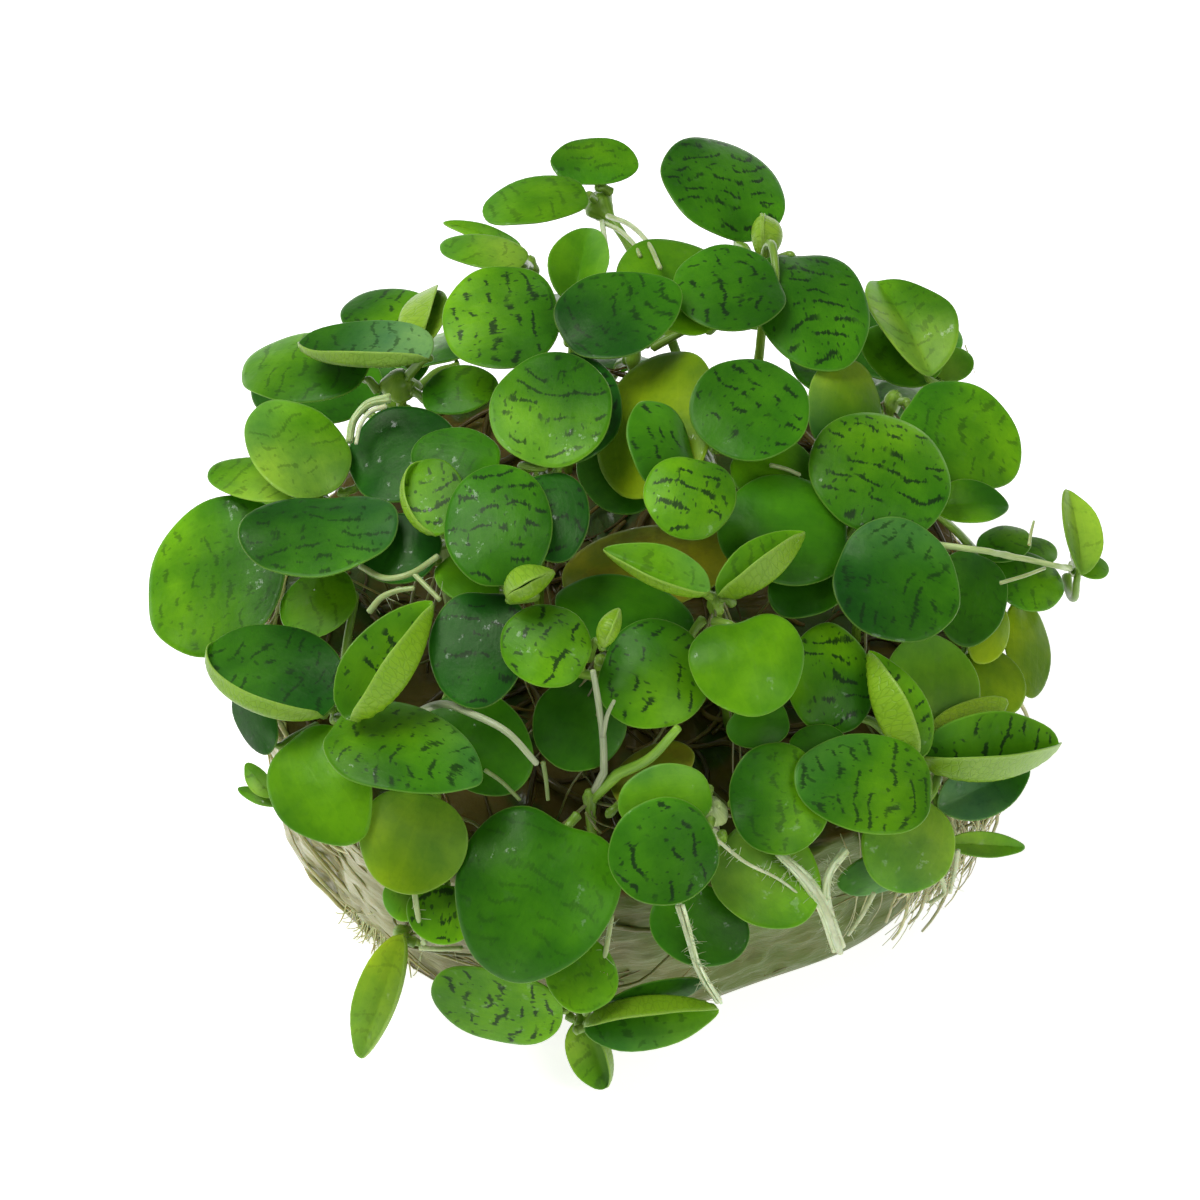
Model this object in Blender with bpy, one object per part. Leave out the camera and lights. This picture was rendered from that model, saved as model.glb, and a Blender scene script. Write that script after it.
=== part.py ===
"""Amazon frogbit: a dense clump of small rosettes on the cup-shaped mass of their roots.

The clump stands on the flat underside of its root mass, which is the plane z = 0; the origin is the middle
of that underside. Lengths are in millimetres unless a name says px, and the objects are built in metres.
Each leaf is placed by where its base and tip are seen from the front, 50 degrees above the ground. The
leaves are laid from the nearest to the farthest on a dome round the root mass, each one behind the leaves
that cover it, and then the crowns, leaf stalks and stems are led between them.
"""

import math
from dataclasses import dataclass

import bmesh
import bpy
import numpy as np
from mathutils.bvhtree import BVHTree

MM = 0.001

# The line of sight
PX_PER_MM = 9.7
PICTURE_MIDDLE_PX = np.array([600.0, 600.0])
CLUMP_MIDDLE_PX = np.array([625.0, 611.0])
CLUMP_MIDDLE = np.array([0.0, 0.0, 25.0])
EYE_DISTANCE = 600.0
EYE_ELEVATION = math.radians(50)
RIGHT = np.array([1.0, 0.0, 0.0])
VIEW = np.array([0.0, math.cos(EYE_ELEVATION), -math.sin(EYE_ELEVATION)])
UP = np.array([0.0, math.sin(EYE_ELEVATION), math.cos(EYE_ELEVATION)])
AIM_OFFSET = (PICTURE_MIDDLE_PX - CLUMP_MIDDLE_PX) / PX_PER_MM
AIM = CLUMP_MIDDLE + AIM_OFFSET[0] * RIGHT - AIM_OFFSET[1] * UP
EYE = AIM - EYE_DISTANCE * VIEW

# The dome of leaves
DOME_MIDDLE = np.array([0.0, 4.0, 16.0])
DOME_RADII = np.array([48.0, 48.0, 40.0])
LOWEST_LEAF = 3.5
UPWARD_PULL = 0.8
TILT_SHARE = 0.75
EASY_TILT = 0.7
MOST_TILT = 1.0
MOST_ASPECT = 1.4

# The blades
BLADE_THICKNESS = 0.9
LAYER_GAP = 0.6
CELL_PX = 8
PETIOLE_RADIUS = 0.55
LARGE_OUTLINE_DEG = (0, 13, 55, 98, 140, 180, -140, -98, -55, -13)
LARGE_RING = ((0, 0.84), (55, 0.55), (140, 0.55), (-140, 0.55), (-55, 0.55))
SMALL_OUTLINE_DEG = (0, 16, 75, 130, 180, -130, -75, -16)
SMALL_RING = ((0, 0.82), (75, 0.5), (180, 0.5), (-75, 0.5))
RIM_REACH = 1.02
SMALL_LEAF_MM = 7.5
SMALL_LEAF_THINNESS = 0.75
SHARP_ANGLE = math.radians(40)
STALK_REACH = 0.93
NOTCH_WIDTH = 0.35

# The crowns and stems
CROWN_RADIUS = 1.6
STEM_RADIUS = 0.8
STEM_SIDES = 5
STALK_STEPS = 9
OWN_STEPS = 4
FOOT_GAP = 0.8
STALK_GAP = 0.75
GAP = 0.3
CLEARANCE = 0.4
FEET_TRIED = 90
FOOT_SPACING = 3.0
FOOT_HEIGHTS = (7.0, 12.0, 17.0, 20.0)
STALK_LEANS = (0.0, 0.7, -0.7)
BOW_SHARES = (0.25, 0.5)
STEM_BOWS = (0.0, 0.3)
KNOB_STEPS = (-1.4, -0.2, 1.9)
KNOB_END_RADIUS = 0.6
STEM_FOOT_RADIUS = 1.0
JOIN_DEPTH = 0.6
TWIG_SIDES = 4
PETIOLE_SIDES = 4

# The root mass
ROOT_FOOT_RADIUS = 34.6
ROOT_TOP_RADIUS = 36.5
ROOT_HEIGHT = 23.0
ROOT_CROWNING = 1.2
ROOT_SIDES = 24
ROOT_TOP_RINGS = (0.93, 0.5)
ROOT_LOBES = ((2, 1.7, -0.2), (3, 0.5, 0.4), (5, 0.45, 1.9), (9, 0.3, 0.8))


@dataclass
class Shape:
    """How a blade departs from a flat round disc, as shares of its width or length."""

    cup: float = 0.05
    bend: float = 0.04
    fold: float = 0.0
    egg: float = 0.06
    point: float = 0.0
    notch: float = 0.0
    narrow: bool = False
    underside: bool = False


SHAPES = {
    "round": Shape(),
    "domed": Shape(cup=-0.07, bend=0.03),
    "heart": Shape(cup=-0.08, bend=0.05, egg=0.16, notch=0.09),
    "egg": Shape(cup=0.04, egg=0.14, point=0.25),
    "flat": Shape(cup=0.0, bend=0.02),
    "spear": Shape(cup=0.0, fold=0.45, egg=0.05, point=0.55, narrow=True),
    "folded": Shape(cup=0.0, fold=0.6, bend=0.02, point=0.3, narrow=True),
    "bud": Shape(cup=0.0, fold=0.8, bend=0.0, egg=0.1, point=0.5, narrow=True),
    "under": Shape(cup=0.05, bend=0.04, narrow=True, underside=True),
}

# The runner that carries the outlying rosette: px from the outlier inwards.
RUNNER_PX = ((1062, 567), (1020, 558), (974, 549))
RUNNER_RADIUS = 0.6
RUNNER_BEHIND = "55"
RUNNER_PARENT = "right"
NEAR_PX = 40
OUTLIER_LIFT = 12.0

# Every leaf from the nearest to the farthest: name, rosette, base px, tip px, width px, shape, lift off the
# dome. A name in OWN_LEAVES is a piece of its own. The rest are fused to the crown that they grow from.
LEAVES = (
    ("46", "mid_left", (506, 597), (554, 570), 32, "bud", 3.0),
    ("47", "middle", (602, 646), (619, 608), 20, "bud", 3.0),
    ("50", "heart", (710, 588), (604, 546), 44, "spear", 0.0),
    ("51", "heart", (719, 592), (806, 529), 46, "spear", 0.0),
    ("43", "left_front", (344, 716), (429, 598), 70, "spear", 2.5),
    ("70", "right_front", (938, 792), (795, 776), 98, "round", 1.5),
    ("67", "right_front", (922, 757), (872, 649), 54, "spear", 2.0),
    ("68", "right_front", (922, 753), (1066, 740), 68, "folded", 2.2),
    ("49", "heart", (736, 612), (762, 713), 114, "heart", 1.0),
    ("45", "middle", (586, 666), (505, 624), 82, "round", 1.0),
    ("28", "mid_left", (503, 586), (494, 462), 108, "round", 1.0),
    ("24", "centre", (700, 455), (680, 537), 92, "round", 1.8),
    ("25", "centre_left", (544, 467), (560, 351), 121, "round", 1.0),
    ("39", "left", (326, 491), (312, 577), 152, "round", 1.0),
    ("82", "left_front", (327, 722), (482, 776), 88, "egg", 1.0),
    ("77", "front_right", (713, 826), (614, 878), 106, "round", 1.5),
    ("55", "right", (838, 552), (956, 612), 120, "round", 1.0),
    ("18", "right", (866, 531), (897, 411), 144, "domed", 1.0),
    ("09", "back_middle", (562, 340), (680, 286), 92, "egg", 0.5),
    ("08", "back_right", (783, 276), (676, 302), 90, "round", 0.5),
    ("12", "back_right", (799, 243), (824, 370), 112, "round", 0.5),
    ("33", "back_left", (436, 350), (298, 340), 50, "flat", 1.0),
    ("37", "left", (326, 496), (266, 400), 86, "round", 0.5),
    ("42", "left_front", (338, 703), (212, 640), 92, "round", 0.5),
    ("83", "left_front", (288, 736), (358, 840), 108, "egg", 0.5),
    ("84", "front_left", (428, 792), (396, 891), 110, "round", 1.5),
    ("76", "front", (572, 812), (494, 977), 160, "heart", 2.0),
    ("48", "middle", (602, 655), (706, 694), 110, "round", 0.5),
    ("44", "mid_left", (488, 588), (470, 707), 98, "round", 0.0),
    ("27", "inner_left", (445, 534), (422, 458), 64, "round", 0.0),
    ("28b", "centre_left", (546, 470), (558, 561), 76, "round", 0.0),
    ("21", "centre", (713, 449), (788, 368), 112, "round", 0.5),
    ("23", "centre", (697, 448), (632, 452), 100, "round", -1.0),
    ("26", "centre_left", (557, 464), (574, 350), 112, "round", -1.0),
    ("11", "back_middle", (560, 308), (443, 330), 108, "round", 0.0),
    ("36", "back_left", (418, 345), (433, 284), 46, "folded", 0.5),
    ("13", "far_right", (932, 366), (882, 270), 74, "folded", 0.5),
    ("56", "low_right", (936, 505), (1013, 502), 46, "spear", 0.0),
    ("17", "right_back", (908, 398), (1015, 474), 102, "round", 0.0),
    ("19", "right_back", (832, 452), (858, 358), 76, "round", 0.0),
    ("71", "front_right", (729, 803), (830, 795), 112, "round", 0.0),
    ("73", "right_front", (932, 800), (882, 886), 96, "round", 0.0),
    ("65", "right_front", (926, 737), (1007, 702), 34, "under", 0.0),
    ("64", "right_front", (926, 742), (936, 634), 96, "round", -0.5),
    ("72", "right_front", (850, 752), (790, 744), 46, "round", -1.0),
    ("66", "right_front", (832, 734), (830, 623), 86, "round", -0.5),
    ("61", "low_right", (984, 552), (956, 643), 74, "round", -1.0),
    ("62b", "low_right", (1000, 600), (974, 660), 46, "flat", -1.5),
    ("59", "outlier", (1084, 570), (1073, 486), 38, "folded", OUTLIER_LIFT),
    ("59b", "outlier", (1076, 568), (1109, 566), 24, "round", OUTLIER_LIFT),
    ("57", "low_right", (982, 556), (1028, 530), 36, "round", -0.5),
    ("58", "low_right", (994, 582), (1066, 580), 58, "round", 0.0),
    ("57b", "low_right", (1000, 560), (1057, 546), 32, "round", -0.5),
    ("69", "right_front", (941, 806), (1034, 764), 60, "folded", 0.0),
    ("63", "low_right", (962, 660), (1025, 702), 58, "flat", -1.0),
    ("62", "low_right", (1026, 600), (1028, 696), 46, "flat", -1.0),
    ("74", "right_front", (936, 852), (838, 884), 44, "flat", 0.0),
    ("75", "low_front_right", (948, 842), (1028, 848), 26, "folded", 0.0),
    ("07", "back_right", (764, 258), (766, 215), 30, "bud", 1.0),
    ("06", "back_right", (742, 239), (704, 131), 105, "round", 0.0),
    ("05", "back_middle", (573, 300), (588, 221), 60, "folded", 0.0),
    ("02", "back_tall", (589, 188), (484, 214), 50, "round", 0.0),
    ("01", "back_tall", (598, 186), (591, 136), 86, "flat", 0.0),
    ("04b", "back_far_left", (527, 262), (440, 242), 34, "round", 0.0),
    ("04", "back_far_left", (521, 250), (442, 218), 17, "folded", 0.0),
    ("10", "back_right", (712, 330), (640, 240), 96, "round", -1.0),
    ("14", "far_right", (935, 380), (867, 330), 62, "round", -0.5),
    ("15", "far_right", (938, 378), (969, 351), 34, "round", -0.5),
    ("29", "centre_left", (500, 468), (412, 448), 62, "round", -1.0),
    ("30", "left", (352, 482), (452, 426), 92, "round", -1.0),
    ("31", "back_left", (420, 396), (498, 384), 48, "round", -1.0),
    ("34", "back_left", (368, 372), (240, 361), 70, "round", -0.5),
    ("35", "back_left", (428, 328), (344, 302), 56, "round", -0.5),
    ("38", "left", (304, 490), (208, 468), 42, "flat", -0.5),
    ("40", "left", (290, 562), (143, 592), 150, "round", -0.5),
    ("41", "left_front", (356, 588), (280, 618), 64, "flat", -1.5),
    ("85", "left_front", (274, 750), (235, 682), 40, "flat", -1.0),
    ("86", "low_left", (272, 795), (244, 764), 22, "folded", 0.0),
    ("86b", "low_left", (282, 803), (236, 789), 16, "folded", 0.0),
    ("78", "front_right", (713, 792), (618, 806), 68, "round", -0.5),
    ("80", "front_right", (722, 838), (812, 914), 100, "flat", -1.5),
    ("96", "middle", (602, 684), (556, 766), 92, "round", -3.0),
    ("90", "low_front", (600, 1010), (562, 938), 70, "round", -1.0),
    ("91", "low_front", (584, 1030), (719, 1012), 54, "folded", 0.5),
    ("92", "low_front", (578, 1022), (604, 1092), 44, "folded", 1.0),
    ("89", "low_front", (564, 1018), (430, 990), 76, "round", -0.5),
    ("94", "low_front", (604, 1008), (704, 982), 28, "flat", -1.0),
    ("95", "front_left", (446, 884), (438, 944), 70, "round", -2.0),
    ("95b", "front_left", (414, 882), (394, 918), 44, "flat", -2.0),
    ("88", "low_front_left", (400, 936), (355, 1062), 44, "folded", 3.5),
    ("54", "right", (852, 532), (718, 528), 110, "round", -2.0),
    ("22", "centre", (648, 500), (668, 347), 110, "flat", -2.5),
    ("53", "heart", (694, 636), (556, 596), 76, "flat", -4.0),
    ("52", "middle", (562, 590), (736, 546), 84, "flat", -6.0),
    ("101", "centre", (652, 505), (590, 440), 80, "round", -6.0),
    ("102", "centre", (742, 446), (806, 500), 76, "round", -6.0),
    ("103", "front", (614, 800), (690, 748), 52, "flat", -9.0),
    ("104", "inner_left", (440, 556), (352, 540), 70, "round", -5.0),
    ("105", "right", (850, 545), (776, 610), 72, "round", -7.0),
    ("97", "heart", (790, 716), (728, 734), 46, "round", -3.0),
    ("98", "inner_left", (432, 540), (384, 548), 62, "round", -3.0),
    ("99", "inner_left", (440, 560), (494, 602), 46, "round", -4.5),
    ("100", "mid_left", (438, 698), (522, 786), 92, "flat", -4.0),
    ("81", "front_right", (652, 902), (746, 948), 80, "flat", -4.0),
)

# Leaves on the far side: name, rosette, base, tip, width, shape, all in millimetres.
BACK_LEAVES = (
    ("b1", "rear_left", (-27, 27, 27), (-39, 35, 24), 13.0, "round"),
    ("b2", "rear_left", (-24, 31, 24), (-30, 43, 18), 13.0, "round"),
    ("b3", "rear_left", (-29, 25, 20), (-42, 24, 15), 11.0, "round"),
    ("b4", "rear_middle", (-2, 38, 28), (-8, 48, 21), 13.5, "round"),
    ("b5", "rear_middle", (4, 38, 27), (10, 50, 21), 13.0, "round"),
    ("b6", "rear_middle", (-1, 37, 22), (-6, 47, 13), 12.0, "round"),
    ("b7", "rear_right", (24, 31, 29), (35, 38, 28), 13.0, "round"),
    ("b8", "rear_right", (26, 28, 25), (39, 31, 20), 13.5, "round"),
    ("b9", "rear_right", (21, 33, 23), (27, 44, 15), 12.0, "round"),
    ("b10", "rear_left", (-18, 32, 29), (-20, 42, 22), 13.0, "round"),
    ("b11", "rear_middle", (9, 35, 32), (16, 43, 25), 13.0, "round"),
    ("b12", "rear_middle", (-8, 36, 31), (-13, 44, 24), 12.0, "round"),
)
CROWNS_BACK = {
    "rear_left": (-24, 26, 27.5),
    "rear_middle": (1, 33.5, 27),
    "rear_right": (21, 27.5, 26),
}

# Where the crown of each rosette is seen, in px.
CROWNS_PX = {
    "back_tall": (600, 205),
    "back_far_left": (530, 268),
    "back_middle": (574, 312),
    "back_right": (768, 264),
    "back_left": (400, 385),
    "centre_left": (540, 466),
    "centre": (706, 452),
    "right": (862, 534),
    "right_back": (893, 402),
    "far_right": (936, 380),
    "left": (322, 504),
    "inner_left": (442, 548),
    "mid_left": (497, 594),
    "left_front": (338, 716),
    "heart": (716, 604),
    "middle": (602, 662),
    "low_right": (988, 566),
    "outlier": (1076, 568),
    "right_front": (922, 768),
    "front_right": (712, 812),
    "front": (590, 800),
    "front_left": (432, 800),
    "low_left": (284, 800),
    "low_front": (582, 1016),
    "low_front_left": (404, 934),
    "low_front_right": (946, 842),
}
CROWN_DEPTHS = np.arange(1.5, 14.0, 1.5)

# Leaves that are pieces of their own.
OWN_LEAVES = frozenset(
    "43 67 68 70 49 45 28 24 25 39 82 77 55 18 09 08 12 33 37 42 83 84 76 48 44 21 11 13 17 06".split()
)

# Bare stalks and thick roots: rosette, radius, spans hidden at the start, then px and lift at each bend.
FORKED_ROOT = ((604, 772, -7.5), (603, 738, -4.5), (598, 700, 0.0), (593, 671, 3.0))
FORK = ((603, 736, -4.0), (607, 716, -1.5), (614, 701, 1.0))
CUT_STALK = ((618, 774, -7.5), (650, 758, -5.0), (678, 728, -1.5))
PALE_STALK_START = ((372, 730, -10.0), (410, 716, -8.0), (441, 704, -3.5))
PALE_STALK_END = ((470, 713, -1.0), (507, 732, 0.0), (537, 764, 0.0))
TWIGS = (
    ("front", 0.5, 0, FORKED_ROOT),
    ("front", 0.4, 0, FORK),
    ("front", 0.5, 0, CUT_STALK),
    ("left_front", 0.6, 3, PALE_STALK_START + PALE_STALK_END),
)
SPAN_STEPS = 6

COLOURS = {
    "leaf": (0.07, 0.28, 0.03),
    "stem": (0.30, 0.42, 0.12),
    "root": (0.42, 0.38, 0.22),
}


def unit(vector):
    return vector / max(np.linalg.norm(vector), 1e-9)


def sight(px, depth):
    """The point seen at px, at a depth measured along the line of sight."""
    offset = (np.asarray(px, float) - PICTURE_MIDDLE_PX) / (PX_PER_MM * EYE_DISTANCE)
    depth = np.asarray(depth, float)[..., None]
    return EYE + depth * (VIEW + offset[..., :1] * RIGHT - offset[..., 1:] * UP)


def seen(points):
    """Where points are seen, in px, and their depths."""
    away = points - EYE
    depth = away @ VIEW
    scale = PX_PER_MM * EYE_DISTANCE / depth
    offset = np.stack([scale * (away @ RIGHT), -scale * (away @ UP)], -1)
    return PICTURE_MIDDLE_PX + offset, depth


def dome_depth(px):
    """Depth where the sight line meets the dome, or passes closest to it, kept above the ground."""
    ray = sight(px, 1.0) - EYE
    start = (EYE - DOME_MIDDLE) / DOME_RADII
    step = ray / DOME_RADII
    a = step @ step
    b = start @ step
    c = start @ start - 1
    on_dome = (-b - math.sqrt(max(b * b - a * c, 0.0))) / a
    return min(on_dome, (EYE[2] - LOWEST_LEAF) / -ray[2])


def dome_normal(point):
    """The way a leaf at a point likes to face: outwards from the dome and up."""
    outward = unit((point - DOME_MIDDLE) / DOME_RADII**2)
    return unit(outward + np.array([0.0, 0.0, UPWARD_PULL]))


@dataclass
class Blade:
    """A leaf blade: its middle, its unit directions, its real length and width, and its rosette."""

    name: str
    rosette: str
    shape: Shape
    middle: np.ndarray
    along: np.ndarray
    across: np.ndarray
    length: float
    width: float

    @property
    def normal(self):
        return np.cross(self.along, self.across)

    @property
    def small(self):
        return min(self.length, self.width) < SMALL_LEAF_MM


def tilted(direction, slope):
    """A direction in the picture turned into depth by a slope, and its true length."""
    turned = direction + slope * VIEW
    size = np.linalg.norm(turned)
    return turned / size, size


def foreshortened(length, width, slopes):
    """Slopes along and across a blade, steeper where its picture is too narrow for a nearly round leaf."""
    sizes = [length * math.hypot(1, slopes[0]), width * math.hypot(1, slopes[1])]
    short = int(np.argmin(sizes))
    seen_size = (length, width)[short]
    wanted = max(sizes) / MOST_ASPECT
    if wanted > sizes[short]:
        steeper = min(math.sqrt((wanted / seen_size) ** 2 - 1), MOST_TILT)
        slopes[short] = math.copysign(max(steeper, abs(slopes[short])), slopes[short])
    return slopes


def blade_from_picture(row, depth):
    """A blade whose picture has the given base, tip and width, tilted as its foreshortening says."""
    name, rosette, base, tip, width_px, kind, _lift = row
    shape = SHAPES[kind]
    base = np.array(base, float)
    tip = np.array(tip, float)
    step = (tip - base) / np.linalg.norm(tip - base)
    along = step[0] * RIGHT - step[1] * UP
    across = step[1] * RIGHT + step[0] * UP
    mm_per_px = depth / (PX_PER_MM * EYE_DISTANCE)
    length = np.linalg.norm(tip - base) * mm_per_px
    width = width_px * mm_per_px
    middle = sight((base + tip) / 2, depth)
    face = dome_normal(middle)
    slopes = [-(face @ way) / (face @ VIEW) for way in (along, across)]
    slopes = [float(np.clip(TILT_SHARE * slope, -EASY_TILT, EASY_TILT)) for slope in slopes]
    if not shape.narrow:
        slopes = foreshortened(length, width, slopes)
    along, longer = tilted(along, slopes[0])
    across, wider = tilted(across, slopes[1])
    across = unit(across - (across @ along) * along)
    if shape.underside:
        across = -across
    return Blade(name, rosette, shape, middle, along, across, length * longer, width * wider)


def blade_from_places(row):
    """A blade on the far side, from its base and tip, facing out and up."""
    name, rosette, base, tip, width, kind = row
    base = np.array(base, float)
    tip = np.array(tip, float)
    along = unit(tip - base)
    middle = (base + tip) / 2
    across = unit(np.cross(dome_normal(middle), along))
    return Blade(name, rosette, SHAPES[kind], middle, along, across, np.linalg.norm(tip - base), width)


def blade_points(blade, turn, reach, side):
    """Points of a blade.

    turn runs round the outline, 0 at the base and pi at the tip; reach runs from the middle to the rim; side
    is +1 on the upper face, -1 on the under face and 0 between them. The outline is a circle made egg-shaped,
    pointed and notched, and the height is a bowl, a lengthwise bend and a V fold added together.
    """
    shape = blade.shape
    from_base = (1 - np.cos(turn)) / 2
    wrapped = (turn + math.pi) % (2 * math.pi) - math.pi
    u = 2 * from_base - 1 + 2 * shape.notch * np.exp(-((wrapped / NOTCH_WIDTH) ** 2))
    v = np.sin(turn) * (1 + shape.egg * np.cos(turn)) * (1 - shape.point * from_base**3)
    u = u * reach
    v = v * reach
    height = blade.width * (shape.cup * (reach**2 - 0.5) + shape.fold * (np.abs(v) / 2 - 0.25))
    height = height - shape.bend * blade.length * (u**2 - 0.3)
    thin = SMALL_LEAF_THINNESS if blade.small else 1.0
    height = height + side * thin * BLADE_THICKNESS / 2 * (1 - reach**2)
    spread = u[..., None] * blade.along * blade.length / 2 + v[..., None] * blade.across * blade.width / 2
    return blade.middle + spread + height[..., None] * blade.normal


def covered_cells(px):
    """Row and column of the picture cell under each px place."""
    cells = np.clip((px / CELL_PX).astype(int), 0, 1200 // CELL_PX - 1)
    return cells[..., 1], cells[..., 0]


def footprint(blade, side, cells=True):
    """The cells or px that a blade covers in the picture, and the depth of one of its faces in each."""
    turn, reach = np.meshgrid(np.linspace(-math.pi, math.pi, 81), np.linspace(0.0, 1.0, 14))
    px, depth = seen(blade_points(blade, turn, reach, side))
    return covered_cells(px) if cells else px, depth


def lay_runner(front, cover):
    """The part of the runner that shows, just behind the leaf that covers its inner end."""
    px = np.array(RUNNER_PX, float)
    cover_px, cover_depth = footprint(cover, -1, cells=False)
    near = np.linalg.norm(cover_px - px[-1], axis=-1) < NEAR_PX
    inner = cover_depth[near].max() + LAYER_GAP + RUNNER_RADIUS
    share = np.linspace(0.0, 1.0, len(px))
    outer = dome_depth(px[0]) - OUTLIER_LIFT
    path = curve_through(sight(px, outer + (inner - outer) * share))
    mark_path(front, path, 2.6 * RUNNER_RADIUS)
    return path


def mark_path(front, path, radius):
    """Makes later leaves lie behind a stalk."""
    px, depth = seen(path)
    np.maximum.at(front, covered_cells(px), depth + radius)


def curve_through(points, steps=SPAN_STEPS):
    """A smooth path through points."""
    points = np.asarray(points, float)
    ends = np.vstack([2 * points[0] - points[1], points, 2 * points[-1] - points[-2]])
    path = []
    for i in range(len(points) - 1):
        a, b, c, d = ends[i : i + 4]
        t = (np.arange(steps) / steps)[:, None]
        square = (2 * a - 5 * b + 4 * c - d) * t**2
        cube = (3 * b - a - 3 * c + d) * t**3
        path.append(b + ((c - a) * t + square + cube) / 2)
    return np.vstack([*path, points[-1:]])


def lay_leaves():
    """Every blade, each behind the ones laid before it, with the runner and the bare stalks."""
    front = np.full((1200 // CELL_PX, 1200 // CELL_PX), -np.inf)
    twigs = []
    for rosette, radius, hidden, bends in TWIGS:
        path = curve_through([sight(b[:2], dome_depth(b[:2]) - b[2]) for b in bends])
        mark_path(front, path[hidden * SPAN_STEPS :], radius)
        twigs.append((rosette, radius, path))
    runner = None
    blades = []
    for row in LEAVES:
        middle_px = (np.array(row[2]) + np.array(row[3])) / 2
        depth = dome_depth(middle_px) - row[6]
        for _ in range(4):
            blade = blade_from_picture(row, depth)
            cells, face_depth = footprint(blade, 1)
            push = float(np.max(front[cells] + LAYER_GAP - face_depth))
            if push <= 0:
                break
            depth += push
        cells, face_depth = footprint(blade, -1)
        np.maximum.at(front, cells, face_depth)
        blades.append(blade)
        if row[0] == RUNNER_BEHIND:
            runner = lay_runner(front, blade)
    blades += [blade_from_places(row) for row in BACK_LEAVES]
    return blades, twigs, runner


def root_radius(turn, height):
    """Radius of the root mass: a tapered cup with a few low lobes."""
    taper = ROOT_FOOT_RADIUS + (ROOT_TOP_RADIUS - ROOT_FOOT_RADIUS) * np.clip(height / ROOT_HEIGHT, 0, 1)
    return taper + sum(size * np.cos(count * turn + start) for count, size, start in ROOT_LOBES)


def root_distance(points):
    """About how far points lie outside the root mass."""
    across = np.hypot(points[..., 0], points[..., 1])
    turn = np.arctan2(points[..., 1], points[..., 0])
    top = ROOT_HEIGHT + ROOT_CROWNING * (1 - (across / root_radius(turn, ROOT_HEIGHT)) ** 2)
    return np.maximum(across - root_radius(turn, points[..., 2]), points[..., 2] - top)


def root_feet():
    """Places on the top and wall of the root mass where a stem can stand, and the way out at each."""
    feet = []
    for radius in np.arange(0.0, ROOT_TOP_RADIUS - FOOT_SPACING, FOOT_SPACING):
        for turn in np.arange(0.0, 2 * math.pi, FOOT_SPACING / max(radius, 1.0)):
            top = ROOT_HEIGHT + ROOT_CROWNING * (1 - (radius / root_radius(turn, ROOT_HEIGHT)) ** 2)
            feet.append((radius * math.cos(turn), radius * math.sin(turn), top, 0.0, 0.0, 1.0))
    for height in FOOT_HEIGHTS:
        for turn in np.linspace(0.0, 2 * math.pi, 60, endpoint=False):
            radius = root_radius(turn, height)
            way = (math.cos(turn), math.sin(turn))
            feet.append((radius * way[0], radius * way[1], height, way[0], way[1], 0.0))
    feet = np.array(feet)
    return feet[:, :3], feet[:, 3:]


def outline_of(blade):
    """Turns of the outline points, and turns and reaches of the ring inside them."""
    outline, ring = (SMALL_OUTLINE_DEG, SMALL_RING) if blade.small else (LARGE_OUTLINE_DEG, LARGE_RING)
    return np.radians(outline), np.radians([r[0] for r in ring]), np.array([r[1] for r in ring])


def blade_faces(blade):
    """Vertices and triangles of a blade, and the mouth under its base that its stalk grows from."""
    outline, ring_turn, ring_reach = outline_of(blade)
    count = len(ring_turn)
    middle = blade_points(blade, np.zeros(1), np.zeros(1), 1)
    under_middle = blade_points(blade, np.zeros(1), np.zeros(1), -1)
    upper = blade_points(blade, ring_turn, ring_reach, 1)
    under = blade_points(blade, ring_turn, ring_reach, -1)
    rim = blade_points(blade, outline, np.full(len(outline), RIM_REACH), 0)
    vertices = np.vstack([middle, under_middle, upper, under, rim])
    rim_start = 2 + 2 * count
    faces = []
    for i in range(count):
        after = (i + 1) % count
        a, b, c = (rim_start + k % (2 * count) for k in (2 * i, 2 * i + 1, 2 * i + 2))
        for centre, ring, flip in ((0, 2, False), (1, 2 + count, True)):
            fan = [(centre, ring + i, ring + after)]
            fan.append((ring + i, a, b))
            fan.append((ring + i, b, ring + after))
            fan.append((ring + after, b, c))
            if flip and i == 0:
                fan.pop(1)
            if flip and i == count - 1:
                fan.pop(3)
            faces += [face[::-1] if flip else face for face in fan]
    mouth = [2 + count, rim_start + 1, rim_start, rim_start + 2 * count - 1]
    return vertices, faces, mouth


def stalk_rings(path, radius, side, sides):
    """Rings of points round a path, carried along it without twisting."""
    tangents = np.gradient(path, axis=0)
    rings = []
    for point, tangent, size in zip(path, tangents, radius):
        tangent = unit(tangent)
        side = unit(side - (side @ tangent) * tangent)
        other = np.cross(tangent, side)
        turn = np.arange(sides) * 2 * math.pi / sides
        rings.append(point + size * (np.cos(turn)[:, None] * other + np.sin(turn)[:, None] * side))
    return rings


def joined_rings(loops):
    """Triangles between neighbouring loops of vertex numbers, and over the last loop."""
    faces = []
    for lower, upper in zip(loops, loops[1:]):
        count = len(lower)
        for i in range(count):
            j = (i + 1) % count
            faces += [(lower[i], lower[j], upper[j]), (lower[i], upper[j], upper[i])]
    last = loops[-1]
    faces += [(last[0], last[i], last[i + 1]) for i in range(1, len(last) - 1)]
    return faces


def leaf_mesh(blade, path):
    """A blade with its stalk, drawn out of the mouth under its base."""
    vertices, faces, mouth = blade_faces(blade)
    steps = path[[4, -1]]
    radius = [PETIOLE_RADIUS] * (len(steps) + 1)
    rings = stalk_rings(np.vstack([path[:1], steps]), radius, blade.across, PETIOLE_SIDES)[1:]
    loops = [mouth]
    for ring in rings:
        loops.append(list(range(len(vertices), len(vertices) + PETIOLE_SIDES)))
        vertices = np.vstack([vertices, ring])
    return vertices, faces + joined_rings(loops)


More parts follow.
